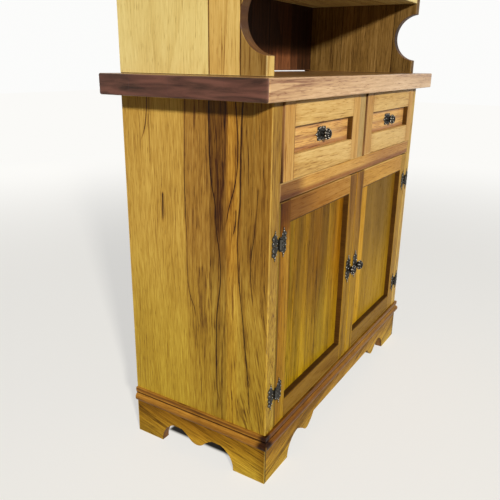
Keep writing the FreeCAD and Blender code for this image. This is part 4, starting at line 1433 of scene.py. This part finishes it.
@dataclass
class Carcass:
    """Posts, panels, rails and what lies inside the base cabinet.

    The back panel's screws stand in rows, inset from its sides and set in from its ends, with
    their heads sunk; these lengths are in metres.
    """

    dressing: Dressing
    screw_rows: int = 6
    screw_inset: float = 0.007
    screw_end: float = 0.05
    screw_sink: float = 0.0009

    def build(self) -> None:
        """Dress every fixed piece of the base."""
        dress = self.dressing.timber
        shades = {"veins": LEFT_VEINS, "heart": (FORK, RIGHT_OF_HEART), "zones": LEFT_ZONES,
                  "zone_rise": (420.0, 560.0), "lean": (-118.0, 480.0, 0.16),
                  "calm": (70.0, -20.0), "stretches": LEFT_BOUNCE_STRETCHES}
        for side, seed, cut in (("left", 2.0, shades), ("right", 5.0, {"veins": RIGHT_VEINS})):
            for piece in ("side_panel", "front_post"):
                dress(f"{side}_{piece}", SIDE, Grain.UPRIGHT_ON_SIDE, seed, **cut)
        edge = stops("658 b09474, 667 bca080, 675 ffffff, 699 ffffff")
        stained = stops("-418 8c7054, -345 a08464, -305 ecd8b0, 0 e8d4ac, 180 ccb090, 418 e0ccb4")
        dress("mid_rail", FRONT, Grain.LEVEL_ON_FRONT, 8.1, zones=edge, stretches=stained)
        dress("bottom_rail", DOOR, Grain.LEVEL_ON_FRONT, 8.7)
        dress("centre_muntin", FRONT, Grain.UPRIGHT_ON_FRONT, 9.3, tones=(0.62,))
        # painted shade: the worktop's top is darkened back from its front arris
        shade_behind_arris = stops("-199 ffffff, -188 b4a488, 204 b4a488")
        dress("worktop", TOP, Grain.FLAT_BOARD, 11.0, joints=(-110.0, 20.0, 120.0),
              tones=(1.0, 0.93, 1.04, 0.96), joint_width=0.3, zones=shade_behind_arris)
        dress("base_back_panel", INNER, Grain.UPRIGHT_ON_FRONT, 13.0,
              joints=(-260.0, -80.0, 95.0, 270.0), tones=(1.0, 0.92, 1.03, 0.96, 1.0))
        for index, name in enumerate(("cupboard_floor", "cupboard_shelf", "drawer_deck")):
            dress(name, INNER, Grain.FLAT_BOARD, 15.0 + index, joints=(-60.0, 70.0),
                  tones=(1.0, 0.95, 1.03))
        for index, name in enumerate(("shelf_cleats", "drawer_guides", "drawer_kickers")):
            dress(name, INNER, Grain.FLAT_DEEP, 19.0 + index)
        dress("door_stop", INNER, Grain.LEVEL_ON_FRONT, 23.0)
        self._back_screws()

    def _back_screws(self) -> None:
        """Screws that hold the back panel in its rebates."""
        low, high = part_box("base_back_panel")
        mesh = bmesh.new()
        screw = Screw(3.2, 0.9, 0.8)
        pitch = (high.z - low.z - 2 * self.screw_end) / (self.screw_rows - 1)
        for side in (low.x + self.screw_inset, high.x - self.screw_inset):
            for step in range(self.screw_rows):
                place = Vector((side, high.y - self.screw_sink,
                                low.z + self.screw_end + step * pitch))
                screw.build(mesh, place, -OUT, 33.0 * step)
        self.dressing.cast(mesh, "back_panel_screws", "cabinet")


@dataclass
class Plinth:
    """Bracket feet and the moulding over them."""

    dressing: Dressing

    def build(self) -> None:
        """Dress the plinth and its moulding."""
        dress = self.dressing.timber
        slant = (1000.0, 1000.0, 0.22)
        dusk = stops("0 ffffff, 45 fff4e0, 70 dcc8a8, 92 b8a084")
        # dark mitres at both ends; the yellow tint between them is painted yellow bounce light
        corners = stops("-456 2c1c14, -451 2c1c14, -448.5 f0e8b4, 448.5 f0e8b4, 451 2c1c14, "
                        "456 2c1c14")
        dress("front_plinth", PLINTH, Grain.LEVEL_ON_FRONT, 31.0, lean=slant, zones=dusk,
              crosswise=corners)
        # a dark mitre at the front; the yellow tints are painted yellow bounce light
        mitre = stops("-179 3c2c20, -176.2 3c2c20, -174.4 c8b890, -150 ffffd8, 0 fff4d0, "
                      "204 dcd0a8")
        for side, seed in (("left", 32.0), ("right", 33.5)):
            dress(f"{side}_plinth", PLINTH, Grain.LEVEL_ON_SIDE, seed, lean=slant, zones=dusk,
                  stretches=mitre)
        dress("back_plinth_rail", INNER, Grain.LEVEL_ON_FRONT, 34.0)
        dress("plinth_glue_blocks", INNER, Grain.UPRIGHT_ON_FRONT, 35.0)
        # painted shade: the dark bands under the lower bead, in the groove and below the top
        # fillet
        steps = stops("92 3c2c1c, 94.6 5c4834, 97 c8b49c, 108 d8c4a8, 112 fff0d8, 114.5 5c4434, "
                      "117.5 5c4434, 119.5 fff0dc, 123 c8b090, 127 a88c70, 130 fff0dc")
        mitres = stops("-652 4c3c34, -630 58463c, -618 ffffff, 278 ffffff")
        front = stops("-454.5 ffffff, -452.5 b8a48c, -150 c4b898, 100 dcd8a8, 452.5 d4d0a0, "
                      "454.5 ffffff")
        dress("base_mouldings", MOULDING, Grain.ROUND_THE_CORNER, 36.0, zones=steps,
              stretches=mitres, crosswise=front)


@dataclass
class Hutch:
    """The open shelves on the worktop."""

    dressing: Dressing

    def build(self) -> None:
        """Dress the hutch's boards."""
        dress = self.dressing.timber
        zones = stops("-165 fff4e0, -159.8 fff4e0, -158.6 a08a70, -104 b09a80, -102.8 ecdcc4, "
                      "-33 f0dcc4, -29 ffffff, 205 ffffff")
        hollow = (-167.5, 1003.0, 66.0)
        dress("left_hutch_side", HUTCH, Grain.UPRIGHT_ON_SIDE, 41.0, joints=(-103.0, -31.0),
              tones=(1.0, 1.0, 1.0), joint_width=3.0, zones=zones, calm=(-28.0, -106.0),
              hollow=hollow)
        # the right hutch side's dark timber and low tones are partly painted shade
        dress("right_hutch_side", SHADED_DIM, Grain.UPRIGHT_ON_SIDE, 44.0, joints=(-96.0, 74.0),
              tones=(0.5, 0.7, 0.6), joint_width=1.4, hollow=hollow)
        # corner darkens the back boards towards the right corner as painted shade; foot keeps
        # their foot lighter as painted light and darkens them above it as painted shade
        corner = stops("315 ffffff, 345 989898, 426 909090")
        foot = stops("903 ffffff, 938 fff8f4, 952 b4aaa6, 970 8c8884")
        dress("hutch_back", SHADED_BACK, Grain.UPRIGHT_ON_FRONT, 45.0,
              joints=(-284.0, -142.0, 0.0, 142.0, 284.0), tones=(1.0, 0.85, 1.1, 0.9, 1.05, 0.95),
              joint_width=2.0, zones=corner, zone_rise=(975.0, 940.0), stretches=foot)
        for index, name in enumerate(("hutch_lower_shelf", "hutch_upper_shelf", "hutch_top")):
            dress(name, HUTCH, Grain.FLAT_BOARD, 46.0 + index, joints=(-30.0, 95.0),
                  tones=(1.0, 0.93, 1.02))
        dress("hutch_frieze", HUTCH, Grain.LEVEL_ON_FRONT, 51.0)
        dress("cornice_strips", HUTCH, Grain.ROUND_THE_CORNER, 52.0)


@dataclass
class Hardware:
    """Knobs in the places of their solids, and castings on plates and hinge leaves.

    The pins stand at the hinge heights and at hinge_x from the middle, and the leaves' faces lie
    at leaf_face, all in millimetres.
    """

    dressing: Dressing
    hinge_heights: tuple[float, float] = (220.0, 572.0)
    hinge_x: float = 416.75
    leaf_face: float = -178.1

    def knob(self, node: str, body: str, petals: int) -> None:
        """Turn a knob in the place of its solid.

        Args:
            node: the solid's name.
            body: the body it moves with.
            petals: how many petals go round its rim.
        """
        low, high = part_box(node)
        mesh, beads = bmesh.new(), bmesh.new()
        knob = Knob(radius=(high.x - low.x) / 2 / MM, length=(high.y - low.y) / MM, petals=petals)
        knob.build(mesh, beads, front_point((low, high), high.y))
        self.dressing.cast(mesh, f"{node}_turned", body, replaces=(node,))
        self.dressing.cast(beads, f"{node}_petals", body, bright=True)

    def plate(self, node: str, body: str, turn: float) -> None:
        """Set the casting and screws on a knob's plate.

        Args:
            node: the plate's solid.
            body: the body it moves with.
            turn: the angle of the screws' slots, in degrees.
        """
        self.dressing.paint(node, self.dressing.metal)
        low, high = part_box(node)
        size = high - low
        upright = size.z > size.x
        plate = KnobPlate(max(size.x, size.z) / MM, min(size.x, size.z) / MM, upright)
        mesh, beads = bmesh.new(), bmesh.new()
        plate.build(mesh, beads, front_point((low, high), low.y), turn)
        self.dressing.cast(mesh, f"{node}_casting", body)
        self.dressing.cast(beads, f"{node}_bosses", body, bright=True)

    def leaves(self, name: str, body: str, sides: Iterable[Side], on_door: bool) -> None:
        """Set the castings and screws on hinge leaves.

        Args:
            name: how the names of the new pieces begin.
            body: the body the leaves move with.
            sides: the sides of the dresser to do.
            on_door: whether these are the doors' leaves.
        """
        mesh, beads = bmesh.new(), bmesh.new()
        for side in sides:
            spread = -side.value if on_door else side.value
            for height in self.hinge_heights:
                pin = Vector((side.value * self.hinge_x, self.leaf_face, height)) * MM
                HingeLeaf().build(mesh, beads, pin, spread)
        self.dressing.cast(mesh, f"{name}_castings", body)
        self.dressing.cast(beads, f"{name}_bosses", body, bright=True)

    def build(self) -> None:
        """Dress what stays fixed to the cabinet."""
        self.dressing.paint("hinge_post_leaves", self.dressing.metal)
        self.dressing.paint("hinge_pins", self.dressing.metal)
        self.leaves("post_leaf", "cabinet", Side, False)


@dataclass
class Door:
    """A framed door with a recessed panel, its hinges, knob and lining; sizes in millimetres."""

    side: Side
    dressing: Dressing
    hardware: Hardware
    rail: float = 47.5
    bead: float = 2.2

    def build(self) -> None:
        """Dress the door's boards and fit its metal."""
        body = f"{self.side.word}_door"
        seed = 60.0 + 7 * self.side.value
        dress = self.dressing.timber
        zones, upper = (), ()
        if self.side is Side.LEFT:
            edge, last = (corner.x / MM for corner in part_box(f"{body}_hinge_stile"))
            # painted shade: the hinge stile's edge darkened in the gap beside the post
            zones = ((edge, "2c1a10"), (edge + 2.4, "3a2416"), (edge + 4.2, "fff0d8"),
                     (last, "ffffff"))
            # yellower towards the bottom as painted yellow bounce light, and darker towards the
            # top
            upper = stops("131 f2f490, 430 fcf4bc, 560 fff8f0, 592 c0a480, 614 947450, "
                          "658 846442")
        dress(f"{body}_hinge_stile", DOOR, Grain.UPRIGHT_ON_FRONT, seed, zones=zones,
              stretches=upper)
        # yellower towards the bottom: painted yellow bounce light
        inner = stops("131 f6f478, 300 e8e488, 430 dcd494, 540 dccca0, 658 d0b8a8")
        dress(f"{body}_meeting_stile", DOOR, Grain.UPRIGHT_ON_FRONT, seed + 1.3, stretches=inner)
        # darker and yellower towards the bottom: painted shade and painted yellow bounce light
        rise = stops("130 988844, 300 a89450, 600 ffffff, 658 ffffff")
        dress(f"{body}_rails", RAIL, Grain.LEVEL_ON_FRONT, seed + 2.1, zones=rise,
              stretches=RAIL_STRETCHES[self.side], stretch_rise=(300.0, 600.0))
        timber = PANEL if self.side is Side.LEFT else CALM_PANEL
        # yellower towards the bottom: painted yellow bounce light
        panel_bounce = stops("179 e4dc98, 330 e8dfb8, 480 e4dacc, 610 d8ccc4")
        dress(f"{body}_panel", timber, Grain.UPRIGHT_ON_FRONT, seed + 3.7,
              zones=PANEL_ZONES[self.side], zone_rise=(240.0, 470.0), stretches=panel_bounce)
        self._line_recess(body)
        self.dressing.paint(f"{body}_hinge_leaves", self.dressing.metal)
        self.hardware.leaves(f"{body}_leaf", body, (self.side,), True)
        self.hardware.knob(f"{body}_knob", body, 8)
        self.hardware.plate(f"{body}_knob_plate", body, 20.0)

    def _line_recess(self, body: str) -> None:
        """Line the recess with dark beads, whose darkness is partly painted shade.

        Args:
            body: the door's body.
        """
        stiles = [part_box(f"{body}_{name}") for name in ("hinge_stile", "meeting_stile")]
        stiles.sort(key=lambda box: box[0].x)
        rails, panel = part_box(f"{body}_rails"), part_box(f"{body}_panel")
        left, right = stiles[0][1].x, stiles[1][0].x
        low = Vector((left, rails[0].y + LINING_DEPTH, rails[0].z + self.rail * MM))
        high = Vector((right, panel[0].y, rails[1].z - self.rail * MM))
        self.dressing.lining_beads(body, low, high, self.bead * MM)


@dataclass
class Drawer:
    """A drawer with a framed front, its box, knob and lining; sizes in millimetres."""

    side: Side
    dressing: Dressing
    hardware: Hardware
    stile: float = 44.0
    rail: float = 50.0
    bead: float = 2.0

    def build(self) -> None:
        """Dress the drawer's boards and fit its metal."""
        body = f"{self.side.word}_drawer"
        seed = 80.0 + 5 * self.side.value
        dress = self.dressing.timber
        low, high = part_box(f"{body}_front_frame")
        middle, half = (low.x + high.x) / 2 / MM, (high.x - low.x) / 2 / MM
        left, right = low.x / MM, high.x / MM
        first, last = left + self.stile, right - self.stile
        # dark at the front's two ends: partly end grain and partly painted shade in the gaps
        # beside them
        ends = ((left, "5a3c24"), (left + 0.4, "5a3c24"), (left + 1.0, "e3d2b8"),
                (first - 14, "e3d2b8"), (first + 30, "f6f4f0"), (last - 20, "f6f4f0"),
                (last + 10, "eadcc4"), (right - 1.0, "eadcc4"), (right - 0.4, "5a3c24"),
                (right, "5a3c24"))
        dress(f"{body}_front_frame", FRONT, Grain.LEVEL_ON_FRONT, seed, crosswise=ends,
              stiles=(middle, half - self.stile))
        streaked = stops("747 b8a088, 751 c0a8a0, 757 c8b0ac, 761 fff4dc, 771 f4e4cc, "
                         "776 d0bcb4, 784 f8ecd4, 795 fff0dc, 799 c8b4ac, 807 d0bcb0")
        dress(f"{body}_front_panel", STREAKED, Grain.LEVEL_ON_FRONT, seed + 1.9, zones=streaked)
        dress(f"{body}_sides", INNER, Grain.LEVEL_ON_SIDE, seed + 2.3)
        dress(f"{body}_back", INNER, Grain.LEVEL_ON_FRONT, seed + 3.1)
        dress(f"{body}_bottom", INNER, Grain.FLAT_BOARD, seed + 4.2)
        self._line_recess(body)
        self.hardware.knob(f"{body}_knob", body, 10)
        self.hardware.plate(f"{body}_knob_plate", body, 65.0)

    def _line_recess(self, body: str) -> None:
        """Line the recess's ends with dark beads, whose darkness is partly painted shade.

        Args:
            body: the drawer's body.
        """
        (low, high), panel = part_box(f"{body}_front_frame"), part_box(f"{body}_front_panel")
        bottom, top = low.z + self.rail * MM, high.z - self.rail * MM
        mesh = bmesh.new()
        for x in (low.x + self.stile * MM, high.x - self.stile * MM - self.bead * MM):
            block(mesh, Vector((x, low.y + LINING_DEPTH, bottom)),
                  Vector((x + self.bead * MM, panel[0].y, top)), 0.3 * MM)
        self.dressing.line(mesh, body)


def main() -> None:
    """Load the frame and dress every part."""
    logging.basicConfig(level=logging.INFO, format="%(message)s")
    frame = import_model()
    Studio().build()
    turning = Board(Grain.ROUND_THE_CORNER, 70.0)
    # the recess linings' dark timber is partly painted shade
    lining = TimberShader("timber_lining", DARK, turning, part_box("mid_rail")).material
    metal = AntiqueMetal().material("antique_metal")
    # the bosses and petals get bright metal: partly polish on high places, partly painted glints
    bright = AntiqueMetal("2c2926", "8c877c", "e8e2d4", 0.26, 0.3, 0.3).material("rubbed_metal")
    dressing = Dressing(frame["nodes"], metal, bright, lining)
    hardware = Hardware(dressing)
    for part in (Carcass(dressing), Plinth(dressing), Hutch(dressing), hardware):
        part.build()
    for side in Side:
        Door(side, dressing, hardware).build()
        Drawer(side, dressing, hardware).build()


if __name__ == "__main__":
    main()
